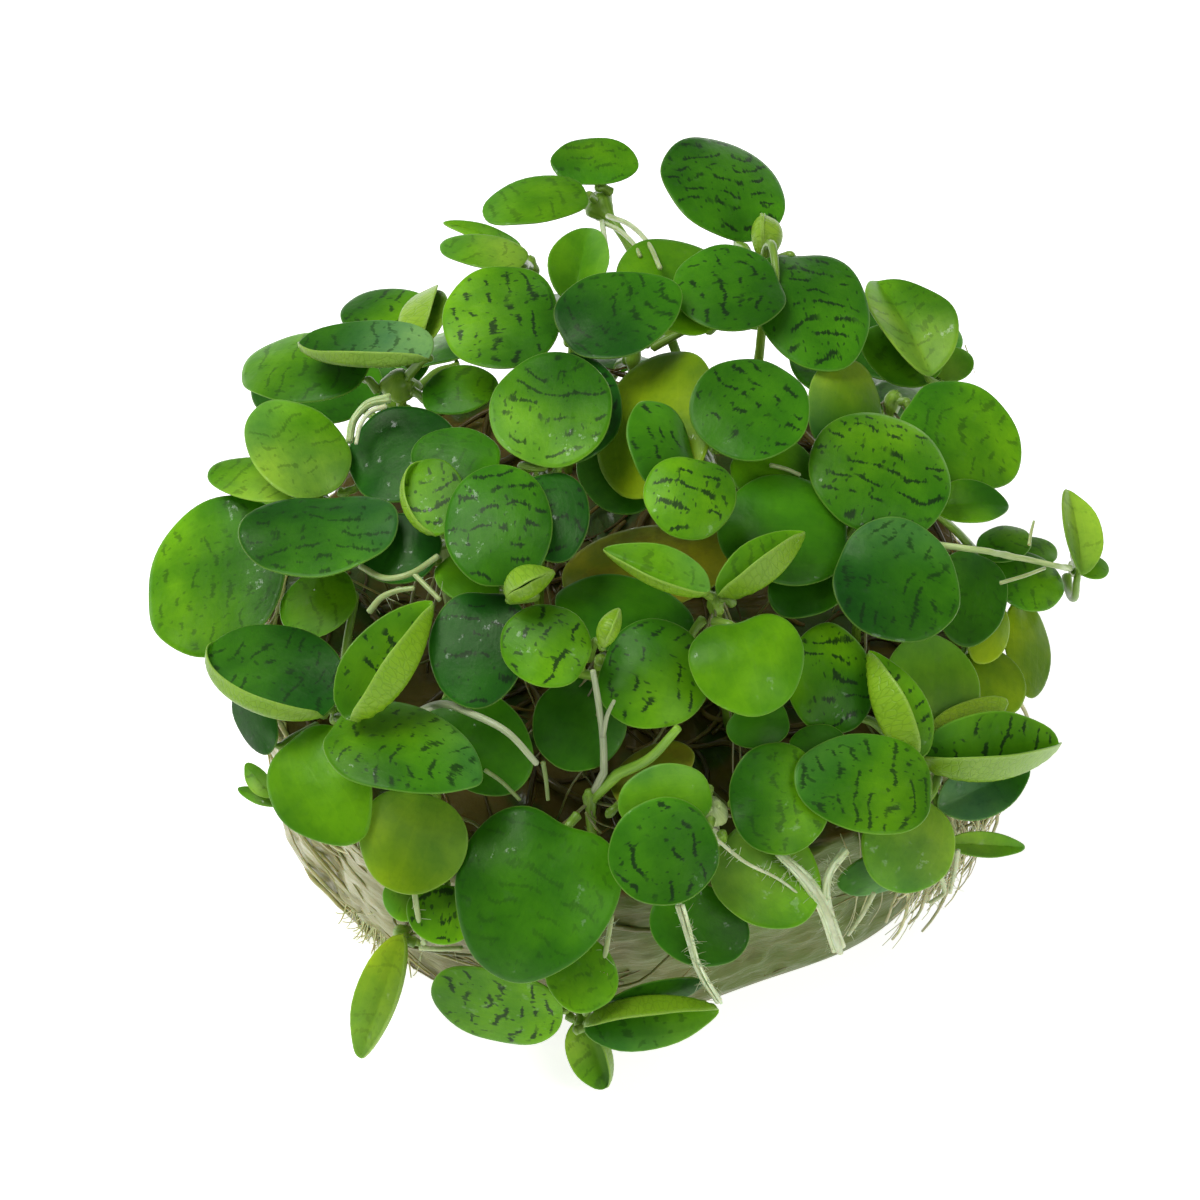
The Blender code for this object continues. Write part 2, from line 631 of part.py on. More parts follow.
def stem_mesh(path, radius, sides=STEM_SIDES):
    """A closed tube along a path."""
    side = np.array([1.0, 0.0, 0.0]) if abs(unit(path[-1] - path[0])[0]) < 0.8 else np.array([0.0, 1.0, 0.0])
    rings = stalk_rings(path, radius, side, sides)
    loops = [list(range(i * sides, (i + 1) * sides)) for i in range(len(rings))]
    faces = joined_rings(loops)
    faces += [(0, i + 1, i) for i in range(1, sides - 1)]
    return np.vstack(rings), faces


class Space:
    """What is laid so far: blades as triangles, and stalks as beads along their paths."""

    def __init__(self, blades):
        points = []
        triangles = []
        self.owner = []
        for blade in blades:
            vertices, faces, _mouth = blade_faces(blade)
            triangles += [tuple(len(points) + corner for corner in face) for face in faces]
            points += vertices.tolist()
            self.owner += [blade.name] * len(faces)
        self.tree = BVHTree.FromPolygons(points, triangles)
        self.beads = np.empty((0, 4))
        self.crowns = []

    def add(self, path, radius):
        fine = curve_through(path, 3)
        self.beads = np.vstack([self.beads, np.column_stack([fine, np.full(len(fine), radius)])])

    def clashes(self, path, radius, own=None, home=None, outside_root=True):
        """How many points of a path come too close to something, other than its own blade or home crown."""
        count = 0
        for crown in self.crowns:
            if crown is not home:
                apart = np.linalg.norm(path - crown, axis=1)
                count += int(np.sum(apart < CROWN_RADIUS + GAP + radius))
        for point in path:
            for hit in self.tree.find_nearest_range(point.tolist(), radius + CLEARANCE):
                if self.owner[hit[2]] != own:
                    count += 1
                    break
        if len(self.beads):
            apart = np.linalg.norm(path[:, None] - self.beads[None, :, :3], axis=2)
            count += int(np.sum(np.any(apart < radius + GAP + self.beads[:, 3], axis=1)))
        if outside_root:
            count += int(np.sum(root_distance(path) < radius + GAP))
        return count


def bow(start, end, sag):
    """A bowed path from start to end, pulled aside by sag at its middle."""
    t = np.linspace(0.0, 1.0, STALK_STEPS)[:, None]
    control = (start + end) / 2 + sag
    return (1 - t) ** 2 * start + 2 * t * (1 - t) * control + t**2 * end


def sags(start, end):
    """Ways in which a stalk may bow, the straightest first."""
    size = np.linalg.norm(end - start)
    ways = (-UP, VIEW, -VIEW, RIGHT, -RIGHT, UP, RIGHT - UP, -RIGHT - UP, VIEW - UP)
    yield np.zeros(3)
    for share in BOW_SHARES:
        for way in ways:
            yield share * size * unit(way)


def stalk_start(blade):
    """Where a stalk leaves its blade: under the base."""
    return blade_points(blade, np.zeros(1), np.array([STALK_REACH]), -1)[0]


def petiole_path(blade, crown, space):
    """The clearest bowed path from a blade to its crown, and how often it is touched."""
    start = stalk_start(blade)
    toward = unit(start - crown)
    side = unit(np.cross(toward, VIEW))
    other = np.cross(toward, side)
    best = None
    leans = [lean * way for way in (side, other) for lean in STALK_LEANS]
    for lean in leans:
        end = crown + (CROWN_RADIUS + STALK_GAP) * unit(toward + lean)
        for sag in sags(start, end):
            path = bow(start, end, sag)
            count = space.clashes(path[1:OWN_STEPS], PETIOLE_RADIUS, blade.name)
            count += space.clashes(path[OWN_STEPS:], PETIOLE_RADIUS)
            if best is None or count < best[0]:
                best = (count, path)
            if count == 0:
                return best
    return best


def stem_path(crown, space, feet, ways):
    """The clearest path from a crown down to the root mass, the nearest foot first."""
    order = np.argsort(np.linalg.norm(feet - crown, axis=1))[:FEET_TRIED]
    best = None
    for foot in order:
        end = feet[foot] + FOOT_GAP * ways[foot]
        for share in STEM_BOWS:
            path = bow(crown, end, share * np.linalg.norm(end - crown) * ways[foot])
            free = path[np.linalg.norm(path - crown, axis=1) > CROWN_RADIUS + GAP]
            if len(free) < 4:
                continue
            count = space.clashes(free[:-1], STEM_RADIUS, home=crown, outside_root=False)
            count += int(np.sum(root_distance(free[:-2]) < STEM_RADIUS))
            if best is None or count < best[0]:
                best = (count, path)
            if count == 0:
                return path
    return best[1]


def crown_places(rosette, blades):
    """Possible middles of a crown: behind its leaves, where the photo shows it."""
    if rosette in CROWNS_BACK:
        return [np.array(CROWNS_BACK[rosette], float)]
    depths = sorted(float(seen(stalk_start(blade)[None])[1][0]) for blade in blades)
    return [sight(CROWNS_PX[rosette], depths[len(depths) // 2] + extra) for extra in CROWN_DEPTHS]


def lead_rosette(rosette, blades, space):
    """The crown and the leaf stalks of a rosette, where they touch least."""
    best = None
    for crown in crown_places(rosette, blades):
        ball = crown + CROWN_RADIUS * 0.4 * np.array([[0, 0, 0], [0, 0, -1.0]])
        touched = 3 * space.clashes(ball, CROWN_RADIUS)
        paths = {}
        beads = space.beads
        for blade in blades:
            count, path = petiole_path(blade, crown, space)
            touched += count
            paths[blade.name] = path
            space.add(path[2:], PETIOLE_RADIUS)
        space.beads = beads
        if best is None or touched < best[0]:
            best = (touched, crown, paths)
        if touched == 0:
            break
    for path in best[2].values():
        space.add(path[1:], PETIOLE_RADIUS)
    return best[1:]


def grow():
    """Lays the whole clump: blades, twigs, and for each rosette its crown, leaf stalks and stem."""
    blades, twigs, runner = lay_leaves()
    space = Space(blades)
    for _rosette, radius, path in twigs:
        space.add(path[::3], radius)
    space.add(runner[::4], RUNNER_RADIUS)
    rosettes = {}
    for blade in blades:
        rosettes.setdefault(blade.rosette, []).append(blade)
    crowns = {}
    petioles = {}
    for rosette, members in rosettes.items():
        crowns[rosette], paths = lead_rosette(rosette, members, space)
        petioles.update(paths)
    for crown in crowns.values():
        space.crowns.append(crown)
    feet, ways = root_feet()
    stems = {}
    for rosette, crown in crowns.items():
        if rosette == "outlier":
            inner = crowns[RUNNER_PARENT]
            end = inner + (CROWN_RADIUS + GAP + 0.3) * unit(runner[-1] - inner)
            stems[rosette] = np.vstack([crown, runner[:-1:4], runner[-1:], end])
            continue
        stems[rosette] = stem_path(crown, space, feet, ways)
        space.add(stems[rosette], STEM_RADIUS)
    return blades, twigs, crowns, petioles, stems


def make_material(name):
    material = bpy.data.materials.new(name)
    material.use_nodes = True
    shader = material.node_tree.nodes["Principled BSDF"]
    shader.inputs["Base Color"].default_value = (*COLOURS[name], 1.0)
    shader.inputs["Roughness"].default_value = 0.35 if name == "leaf" else 0.6
    shader.inputs["Metallic"].default_value = 0.0
    return material


def make_object(name, shape, material):
    """One object from vertices in millimetres and faces, with its faces pointing out."""
    vertices, faces = shape
    mesh = bpy.data.meshes.new(name)
    mesh.from_pydata((np.asarray(vertices) * MM).tolist(), [], faces)
    work = bmesh.new()
    work.from_mesh(mesh)
    bmesh.ops.recalc_face_normals(work, faces=work.faces)
    work.to_mesh(mesh)
    work.free()
    mesh.materials.append(material)
    mesh.shade_smooth()
    mesh.set_sharp_from_angle(angle=SHARP_ANGLE)
    item = bpy.data.objects.new(name, mesh)
    bpy.context.collection.objects.link(item)
    return item


def fused(name, shapes, material):
    """One object from several overlapping closed shapes."""
    whole = make_object(name, shapes[0], material)
    extras = [make_object(f"{name}_extra", shape, material) for shape in shapes[1:]]
    for extra in extras:
        union = whole.modifiers.new("union", "BOOLEAN")
        union.operation = "UNION"
        union.solver = "EXACT"
        union.object = extra
    bpy.context.view_layer.update()
    joined = bpy.data.meshes.new_from_object(whole.evaluated_get(bpy.context.evaluated_depsgraph_get()))
    whole.modifiers.clear()
    whole.data = joined
    for extra in extras:
        bpy.data.objects.remove(extra)
    return whole


def crown_and_stem(rosette, crown, path):
    """The knobbly crown of a rosette and the stem below it, as one tube of changing radius."""
    if rosette == "outlier":
        way = unit(path[1] - crown)
        knob = np.array(KNOB_STEPS)[:, None] * way
        radius = [KNOB_END_RADIUS, CROWN_RADIUS] + [RUNNER_RADIUS] * len(path)
        return stem_mesh(np.vstack([crown + knob, path[1:]]), radius)
    way = unit(path[2] - path[0])
    knob = np.array(KNOB_STEPS)[:, None] * way
    later = path[np.linalg.norm(path - crown, axis=1) > KNOB_STEPS[-1] + STEM_RADIUS]
    later = later[[len(later) // 2, -1]] if len(later) > 1 else path[-1:]
    points = np.vstack([crown + knob, later])
    radius = [KNOB_END_RADIUS, CROWN_RADIUS, STEM_RADIUS, STEM_RADIUS, STEM_FOOT_RADIUS]
    return stem_mesh(points, radius[: len(points)])


def root_mass():
    """The cup-shaped root mass: rings from the middle of the underside, up the wall, to the crowned top."""
    turn = np.arange(ROOT_SIDES) * 2 * math.pi / ROOT_SIDES
    rings = []
    for height in (0.0, ROOT_HEIGHT / 2, ROOT_HEIGHT - ROOT_CROWNING):
        radius = root_radius(turn, height)
        level = np.full(len(turn), height)
        rings.append(np.column_stack([radius * np.cos(turn), radius * np.sin(turn), level]))
    for share in ROOT_TOP_RINGS:
        radius = root_radius(turn, ROOT_HEIGHT) * share
        level = np.full(len(turn), ROOT_HEIGHT + ROOT_CROWNING * (1 - share**2))
        rings.append(np.column_stack([radius * np.cos(turn), radius * np.sin(turn), level]))
    loops = [list(range(i * ROOT_SIDES, (i + 1) * ROOT_SIDES)) for i in range(len(rings))]
    faces = joined_rings(loops)
    faces += [(0, i + 1, i) for i in range(1, ROOT_SIDES - 1)]
    return np.vstack(rings), faces


def main():
    for item in list(bpy.data.objects):
        bpy.data.objects.remove(item)
    materials = {name: make_material(name) for name in COLOURS}
    make_object("root_mass", root_mass(), materials["root"])
    blades, twigs, crowns, petioles, stems = grow()
    for rosette, crown in crowns.items():
        shapes = [crown_and_stem(rosette, crown, stems[rosette])]
        for blade in blades:
            if blade.rosette != rosette:
                continue
            path = petioles[blade.name]
            if blade.name in OWN_LEAVES:
                make_object(f"{rosette}_leaf_{blade.name}", leaf_mesh(blade, path), materials["leaf"])
            else:
                inside = np.vstack([path[:-1], crown + JOIN_DEPTH * unit(path[-1] - crown)])
                shapes.append(leaf_mesh(blade, inside))
        for owner, radius, path in twigs:
            if owner == rosette:
                bends = path[::SPAN_STEPS]
                shapes.append(stem_mesh(np.vstack([crown, bends]), [radius] * (len(bends) + 1), TWIG_SIDES))
        fused(f"{rosette}_rosette", shapes, materials["stem"])


main()
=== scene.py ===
"""Amazon frogbit: the looks of a dense clump of small rosettes on the cup-shaped mass of their roots.

Every leaf, stalk, crown and stem is laid out by the same rules as its solid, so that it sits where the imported
frame has it. Lengths are in millimetres unless a name says px, and the meshes are built in metres.
"""

import math
from dataclasses import dataclass

import bpy
import numpy as np
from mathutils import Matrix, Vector
from mathutils.bvhtree import BVHTree


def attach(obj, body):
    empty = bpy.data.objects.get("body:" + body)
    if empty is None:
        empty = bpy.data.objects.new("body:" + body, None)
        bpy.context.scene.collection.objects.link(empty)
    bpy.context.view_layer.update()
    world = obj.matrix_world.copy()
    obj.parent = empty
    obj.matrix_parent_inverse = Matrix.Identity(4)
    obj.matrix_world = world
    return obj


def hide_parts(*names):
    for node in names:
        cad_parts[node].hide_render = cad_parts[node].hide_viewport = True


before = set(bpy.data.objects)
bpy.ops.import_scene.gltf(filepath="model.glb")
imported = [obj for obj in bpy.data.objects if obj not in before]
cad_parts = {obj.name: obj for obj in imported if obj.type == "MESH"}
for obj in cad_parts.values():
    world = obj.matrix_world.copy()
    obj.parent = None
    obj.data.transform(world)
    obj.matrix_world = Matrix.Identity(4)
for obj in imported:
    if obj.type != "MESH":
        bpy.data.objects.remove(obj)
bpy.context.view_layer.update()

bl_info = {
    "name": "Amazon Frogbit",
    "version": (1, 0, 0),
    "blender": (4, 5, 0),
    "location": "View3D > Sidebar > Frogbit",
    "description": "Builds a clump of amazon frogbit rosettes on the mass of their roots",
    "category": "Add Mesh",
}

MM = 0.001

# The line of sight
PX_PER_MM = 9.7
PICTURE_PX = 1200
PICTURE_MIDDLE_PX = np.array([600.0, 600.0])
CLUMP_MIDDLE_PX = np.array([625.0, 611.0])
CLUMP_MIDDLE = np.array([0.0, 0.0, 25.0])
EYE_DISTANCE = 600.0
EYE_ELEVATION = math.radians(50)
RIGHT = np.array([1.0, 0.0, 0.0])
VIEW = np.array([0.0, math.cos(EYE_ELEVATION), -math.sin(EYE_ELEVATION)])
UP = np.array([0.0, math.sin(EYE_ELEVATION), math.cos(EYE_ELEVATION)])
AIM_OFFSET = (PICTURE_MIDDLE_PX - CLUMP_MIDDLE_PX) / PX_PER_MM
AIM = CLUMP_MIDDLE + AIM_OFFSET[0] * RIGHT - AIM_OFFSET[1] * UP
EYE = AIM - EYE_DISTANCE * VIEW

# The dome of leaves
DOME_MIDDLE = np.array([0.0, 4.0, 16.0])
DOME_RADII = np.array([48.0, 48.0, 40.0])
LOWEST_LEAF = 3.5
UPWARD_PULL = 0.8
TILT_SHARE = 0.75
EASY_TILT = 0.7
MOST_TILT = 1.0
MOST_ASPECT = 1.4

# The blades
BLADE_THICKNESS = 0.9
LAYER_GAP = 0.6
CELL_PX = 8
FOOTPRINT_TURNS = 81
FOOTPRINT_REACHES = 14
PUSHES = 4
PETIOLE_RADIUS = 0.55
LARGE_OUTLINE_DEG = (0, 13, 55, 98, 140, 180, -140, -98, -55, -13)
LARGE_RING = ((0, 0.84), (55, 0.55), (140, 0.55), (-140, 0.55), (-55, 0.55))
SMALL_OUTLINE_DEG = (0, 16, 75, 130, 180, -130, -75, -16)
SMALL_RING = ((0, 0.82), (75, 0.5), (180, 0.5), (-75, 0.5))
RIM_REACH = 1.02
SMALL_LEAF_MM = 7.5
SMALL_LEAF_THINNESS = 0.75
STALK_REACH = 0.93
NOTCH_WIDTH = 0.35

# The crowns and stems
CROWN_RADIUS = 1.6
STEM_RADIUS = 0.8
STALK_STEPS = 9
OWN_STEPS = 4
FOOT_GAP = 0.8
STALK_GAP = 0.75
GAP = 0.3
CLEARANCE = 0.4
FEET_TRIED = 90
FOOT_SPACING = 3.0
FOOT_HEIGHTS = (7.0, 12.0, 17.0, 20.0)
FEET_ROUND = 60
STALK_LEANS = (0.0, 0.7, -0.7)
BOW_SHARES = (0.25, 0.5)
STEM_BOWS = (0.0, 0.3)
KNOB_STEPS = (-1.4, -0.2, 1.9)

# The root mass
ROOT_FOOT_RADIUS = 34.6
ROOT_TOP_RADIUS = 36.5
ROOT_HEIGHT = 23.0
ROOT_CROWNING = 1.2
ROOT_LOBES = ((2, 1.7, -0.2), (3, 0.5, 0.4), (5, 0.45, 1.9), (9, 0.3, 0.8))


@dataclass
class Shape:
    """How a blade departs from a flat round disc, as shares of its width or length."""

    cup: float = 0.05
    bend: float = 0.04
    fold: float = 0.0
    egg: float = 0.06
    point: float = 0.0
    notch: float = 0.0
    narrow: bool = False
    underside: bool = False


SHAPES = {
    "round": Shape(),
    "domed": Shape(cup=-0.07, bend=0.03),
    "heart": Shape(cup=-0.08, bend=0.05, egg=0.16, notch=0.09),
    "egg": Shape(cup=0.04, egg=0.14, point=0.25),
    "flat": Shape(cup=0.0, bend=0.02),
    "spear": Shape(cup=0.0, fold=0.45, egg=0.05, point=0.55, narrow=True),
    "folded": Shape(cup=0.0, fold=0.6, bend=0.02, point=0.3, narrow=True),
    "bud": Shape(cup=0.0, fold=0.8, bend=0.0, egg=0.1, point=0.5, narrow=True),
    "under": Shape(cup=0.05, bend=0.04, narrow=True, underside=True),
}

# The runner that carries the outlying rosette: px from the outlier inwards.
RUNNER_PX = ((1062, 567), (1020, 558), (974, 549))
RUNNER_RADIUS = 0.6
RUNNER_BEHIND = "55"
RUNNER_PARENT = "right"
NEAR_PX = 40
OUTLIER_LIFT = 12.0


# Every leaf from the nearest to the farthest: name, rosette, base px, tip px, width px, shape, lift off the
# dome. A name in OWN_LEAVES is a piece of its own. The rest are fused to the crown that they grow from.
LEAVES = (
    ("46", "mid_left", (506, 597), (554, 570), 32, "bud", 3.0),
    ("47", "middle", (602, 646), (619, 608), 20, "bud", 3.0),
    ("50", "heart", (710, 588), (604, 546), 44, "spear", 0.0),
    ("51", "heart", (719, 592), (806, 529), 46, "spear", 0.0),
    ("43", "left_front", (344, 716), (429, 598), 70, "spear", 2.5),
    ("70", "right_front", (938, 792), (795, 776), 98, "round", 1.5),
    ("67", "right_front", (922, 757), (872, 649), 54, "spear", 2.0),
    ("68", "right_front", (922, 753), (1066, 740), 68, "folded", 2.2),
    ("49", "heart", (736, 612), (762, 713), 114, "heart", 1.0),
    ("45", "middle", (586, 666), (505, 624), 82, "round", 1.0),
    ("28", "mid_left", (503, 586), (494, 462), 108, "round", 1.0),
    ("24", "centre", (700, 455), (680, 537), 92, "round", 1.8),
    ("25", "centre_left", (544, 467), (560, 351), 121, "round", 1.0),
    ("39", "left", (326, 491), (312, 577), 152, "round", 1.0),
    ("82", "left_front", (327, 722), (482, 776), 88, "egg", 1.0),
    ("77", "front_right", (713, 826), (614, 878), 106, "round", 1.5),
    ("55", "right", (838, 552), (956, 612), 120, "round", 1.0),
    ("18", "right", (866, 531), (897, 411), 144, "domed", 1.0),
    ("09", "back_middle", (562, 340), (680, 286), 92, "egg", 0.5),
    ("08", "back_right", (783, 276), (676, 302), 90, "round", 0.5),
    ("12", "back_right", (799, 243), (824, 370), 112, "round", 0.5),
    ("33", "back_left", (436, 350), (298, 340), 50, "flat", 1.0),
    ("37", "left", (326, 496), (266, 400), 86, "round", 0.5),
    ("42", "left_front", (338, 703), (212, 640), 92, "round", 0.5),
    ("83", "left_front", (288, 736), (358, 840), 108, "egg", 0.5),
    ("84", "front_left", (428, 792), (396, 891), 110, "round", 1.5),
    ("76", "front", (572, 812), (494, 977), 160, "heart", 2.0),
    ("48", "middle", (602, 655), (706, 694), 110, "round", 0.5),
    ("44", "mid_left", (488, 588), (470, 707), 98, "round", 0.0),
    ("27", "inner_left", (445, 534), (422, 458), 64, "round", 0.0),
    ("28b", "centre_left", (546, 470), (558, 561), 76, "round", 0.0),
    ("21", "centre", (713, 449), (788, 368), 112, "round", 0.5),
    ("23", "centre", (697, 448), (632, 452), 100, "round", -1.0),
    ("26", "centre_left", (557, 464), (574, 350), 112, "round", -1.0),
    ("11", "back_middle", (560, 308), (443, 330), 108, "round", 0.0),
    ("36", "back_left", (418, 345), (433, 284), 46, "folded", 0.5),
    ("13", "far_right", (932, 366), (882, 270), 74, "folded", 0.5),
    ("56", "low_right", (936, 505), (1013, 502), 46, "spear", 0.0),
    ("17", "right_back", (908, 398), (1015, 474), 102, "round", 0.0),
    ("19", "right_back", (832, 452), (858, 358), 76, "round", 0.0),
    ("71", "front_right", (729, 803), (830, 795), 112, "round", 0.0),
    ("73", "right_front", (932, 800), (882, 886), 96, "round", 0.0),
    ("65", "right_front", (926, 737), (1007, 702), 34, "under", 0.0),
    ("64", "right_front", (926, 742), (936, 634), 96, "round", -0.5),
    ("72", "right_front", (850, 752), (790, 744), 46, "round", -1.0),
    ("66", "right_front", (832, 734), (830, 623), 86, "round", -0.5),
    ("61", "low_right", (984, 552), (956, 643), 74, "round", -1.0),
    ("62b", "low_right", (1000, 600), (974, 660), 46, "flat", -1.5),
    ("59", "outlier", (1084, 570), (1073, 486), 38, "folded", OUTLIER_LIFT),
    ("59b", "outlier", (1076, 568), (1109, 566), 24, "round", OUTLIER_LIFT),
    ("57", "low_right", (982, 556), (1028, 530), 36, "round", -0.5),
    ("58", "low_right", (994, 582), (1066, 580), 58, "round", 0.0),
    ("57b", "low_right", (1000, 560), (1057, 546), 32, "round", -0.5),
    ("69", "right_front", (941, 806), (1034, 764), 60, "folded", 0.0),
    ("63", "low_right", (962, 660), (1025, 702), 58, "flat", -1.0),
    ("62", "low_right", (1026, 600), (1028, 696), 46, "flat", -1.0),
    ("74", "right_front", (936, 852), (838, 884), 44, "flat", 0.0),
    ("75", "low_front_right", (948, 842), (1028, 848), 26, "folded", 0.0),
    ("07", "back_right", (764, 258), (766, 215), 30, "bud", 1.0),
    ("06", "back_right", (742, 239), (704, 131), 105, "round", 0.0),
    ("05", "back_middle", (573, 300), (588, 221), 60, "folded", 0.0),
    ("02", "back_tall", (589, 188), (484, 214), 50, "round", 0.0),
    ("01", "back_tall", (598, 186), (591, 136), 86, "flat", 0.0),
    ("04b", "back_far_left", (527, 262), (440, 242), 34, "round", 0.0),
    ("04", "back_far_left", (521, 250), (442, 218), 17, "folded", 0.0),
    ("10", "back_right", (712, 330), (640, 240), 96, "round", -1.0),
    ("14", "far_right", (935, 380), (867, 330), 62, "round", -0.5),
    ("15", "far_right", (938, 378), (969, 351), 34, "round", -0.5),
    ("29", "centre_left", (500, 468), (412, 448), 62, "round", -1.0),
    ("30", "left", (352, 482), (452, 426), 92, "round", -1.0),
    ("31", "back_left", (420, 396), (498, 384), 48, "round", -1.0),
    ("34", "back_left", (368, 372), (240, 361), 70, "round", -0.5),
    ("35", "back_left", (428, 328), (344, 302), 56, "round", -0.5),
    ("38", "left", (304, 490), (208, 468), 42, "flat", -0.5),
    ("40", "left", (290, 562), (143, 592), 150, "round", -0.5),
    ("41", "left_front", (356, 588), (280, 618), 64, "flat", -1.5),
    ("85", "left_front", (274, 750), (235, 682), 40, "flat", -1.0),
    ("86", "low_left", (272, 795), (244, 764), 22, "folded", 0.0),
    ("86b", "low_left", (282, 803), (236, 789), 16, "folded", 0.0),
    ("78", "front_right", (713, 792), (618, 806), 68, "round", -0.5),
    ("80", "front_right", (722, 838), (812, 914), 100, "flat", -1.5),
    ("96", "middle", (602, 684), (556, 766), 92, "round", -3.0),
    ("90", "low_front", (600, 1010), (562, 938), 70, "round", -1.0),
    ("91", "low_front", (584, 1030), (719, 1012), 54, "folded", 0.5),
    ("92", "low_front", (578, 1022), (604, 1092), 44, "folded", 1.0),
    ("89", "low_front", (564, 1018), (430, 990), 76, "round", -0.5),
    ("94", "low_front", (604, 1008), (704, 982), 28, "flat", -1.0),
    ("95", "front_left", (446, 884), (438, 944), 70, "round", -2.0),
    ("95b", "front_left", (414, 882), (394, 918), 44, "flat", -2.0),
    ("88", "low_front_left", (400, 936), (355, 1062), 44, "folded", 3.5),
    ("54", "right", (852, 532), (718, 528), 110, "round", -2.0),
    ("22", "centre", (648, 500), (668, 347), 110, "flat", -2.5),
    ("53", "heart", (694, 636), (556, 596), 76, "flat", -4.0),
    ("52", "middle", (562, 590), (736, 546), 84, "flat", -6.0),
    ("101", "centre", (652, 505), (590, 440), 80, "round", -6.0),
    ("102", "centre", (742, 446), (806, 500), 76, "round", -6.0),
    ("103", "front", (614, 800), (690, 748), 52, "flat", -9.0),
    ("104", "inner_left", (440, 556), (352, 540), 70, "round", -5.0),
    ("105", "right", (850, 545), (776, 610), 72, "round", -7.0),
    ("97", "heart", (790, 716), (728, 734), 46, "round", -3.0),
    ("98", "inner_left", (432, 540), (384, 548), 62, "round", -3.0),
    ("99", "inner_left", (440, 560), (494, 602), 46, "round", -4.5),
    ("100", "mid_left", (438, 698), (522, 786), 92, "flat", -4.0),
    ("81", "front_right", (652, 902), (746, 948), 80, "flat", -4.0),
)

# Leaves on the far side: name, rosette, base, tip, width, shape, all in millimetres.
BACK_LEAVES = (
    ("b1", "rear_left", (-27, 27, 27), (-39, 35, 24), 13.0, "round"),
    ("b2", "rear_left", (-24, 31, 24), (-30, 43, 18), 13.0, "round"),
    ("b3", "rear_left", (-29, 25, 20), (-42, 24, 15), 11.0, "round"),
    ("b4", "rear_middle", (-2, 38, 28), (-8, 48, 21), 13.5, "round"),
    ("b5", "rear_middle", (4, 38, 27), (10, 50, 21), 13.0, "round"),
    ("b6", "rear_middle", (-1, 37, 22), (-6, 47, 13), 12.0, "round"),
    ("b7", "rear_right", (24, 31, 29), (35, 38, 28), 13.0, "round"),
    ("b8", "rear_right", (26, 28, 25), (39, 31, 20), 13.5, "round"),
    ("b9", "rear_right", (21, 33, 23), (27, 44, 15), 12.0, "round"),
    ("b10", "rear_left", (-18, 32, 29), (-20, 42, 22), 13.0, "round"),
    ("b11", "rear_middle", (9, 35, 32), (16, 43, 25), 13.0, "round"),
    ("b12", "rear_middle", (-8, 36, 31), (-13, 44, 24), 12.0, "round"),
)
CROWNS_BACK = {
    "rear_left": (-24, 26, 27.5),
    "rear_middle": (1, 33.5, 27),
    "rear_right": (21, 27.5, 26),
}

# Where the crown of each rosette is seen, in px.
CROWNS_PX = {
    "back_tall": (600, 205),
    "back_far_left": (530, 268),
    "back_middle": (574, 312),
    "back_right": (768, 264),
    "back_left": (400, 385),
    "centre_left": (540, 466),
    "centre": (706, 452),
    "right": (862, 534),
    "right_back": (893, 402),
    "far_right": (936, 380),
    "left": (322, 504),
    "inner_left": (442, 548),
    "mid_left": (497, 594),
    "left_front": (338, 716),
    "heart": (716, 604),
    "middle": (602, 662),
    "low_right": (988, 566),
    "outlier": (1076, 568),
    "right_front": (922, 768),
    "front_right": (712, 812),
    "front": (590, 800),
    "front_left": (432, 800),
    "low_left": (284, 800),
    "low_front": (582, 1016),
    "low_front_left": (404, 934),
    "low_front_right": (946, 842),
}
CROWN_DEPTHS = np.arange(1.5, 14.0, 1.5)

# Leaves that are pieces of their own.
OWN_LEAVES = frozenset(
    "43 67 68 70 49 45 28 24 25 39 82 77 55 18 09 08 12 33 37 42 83 84 76 48 44 21 11 13 17 06".split()
)

# Bare stalks and thick roots: rosette, radius, spans hidden at the start, then px and lift at each bend.
FORKED_ROOT = ((604, 772, -7.5), (603, 738, -4.5), (598, 700, 0.0), (593, 671, 3.0))
FORK = ((603, 736, -4.0), (607, 716, -1.5), (614, 701, 1.0))
CUT_STALK = ((618, 774, -7.5), (650, 758, -5.0), (678, 728, -1.5))
PALE_STALK_START = ((372, 730, -10.0), (410, 716, -8.0), (441, 704, -3.5))
PALE_STALK_END = ((470, 713, -1.0), (507, 732, 0.0), (537, 764, 0.0))
TWIGS = (
    ("front", 0.5, 0, FORKED_ROOT),
    ("front", 0.4, 0, FORK),
    ("front", 0.5, 0, CUT_STALK),
    ("left_front", 0.6, 3, PALE_STALK_START + PALE_STALK_END),
)
SPAN_STEPS = 6


def unit(vector):
    """A vector scaled to length one."""
    return vector / max(np.linalg.norm(vector), 1e-9)


def unit_each(vectors):
    """Many vectors, each scaled to length one."""
    return vectors / np.maximum(np.linalg.norm(vectors, axis=-1, keepdims=True), 1e-9)


def round_axis(radius, turn, height):
    """Points at a radius and a turn round the upright axis: radius cos turn, radius sin turn, height."""
    return np.stack([radius * np.cos(turn), radius * np.sin(turn), height], -1)


def sight(px, depth):
    """The point seen at px, at a depth measured along the line of sight."""
    offset = (np.asarray(px, float) - PICTURE_MIDDLE_PX) / (PX_PER_MM * EYE_DISTANCE)
    depth = np.asarray(depth, float)[..., None]
    return EYE + depth * (VIEW + offset[..., :1] * RIGHT - offset[..., 1:] * UP)


def seen(points):
    """Where points are seen, in px, and their depths."""
    away = points - EYE
    depth = away @ VIEW
    scale = PX_PER_MM * EYE_DISTANCE / depth
    offset = np.stack([scale * (away @ RIGHT), -scale * (away @ UP)], -1)
    return PICTURE_MIDDLE_PX + offset, depth


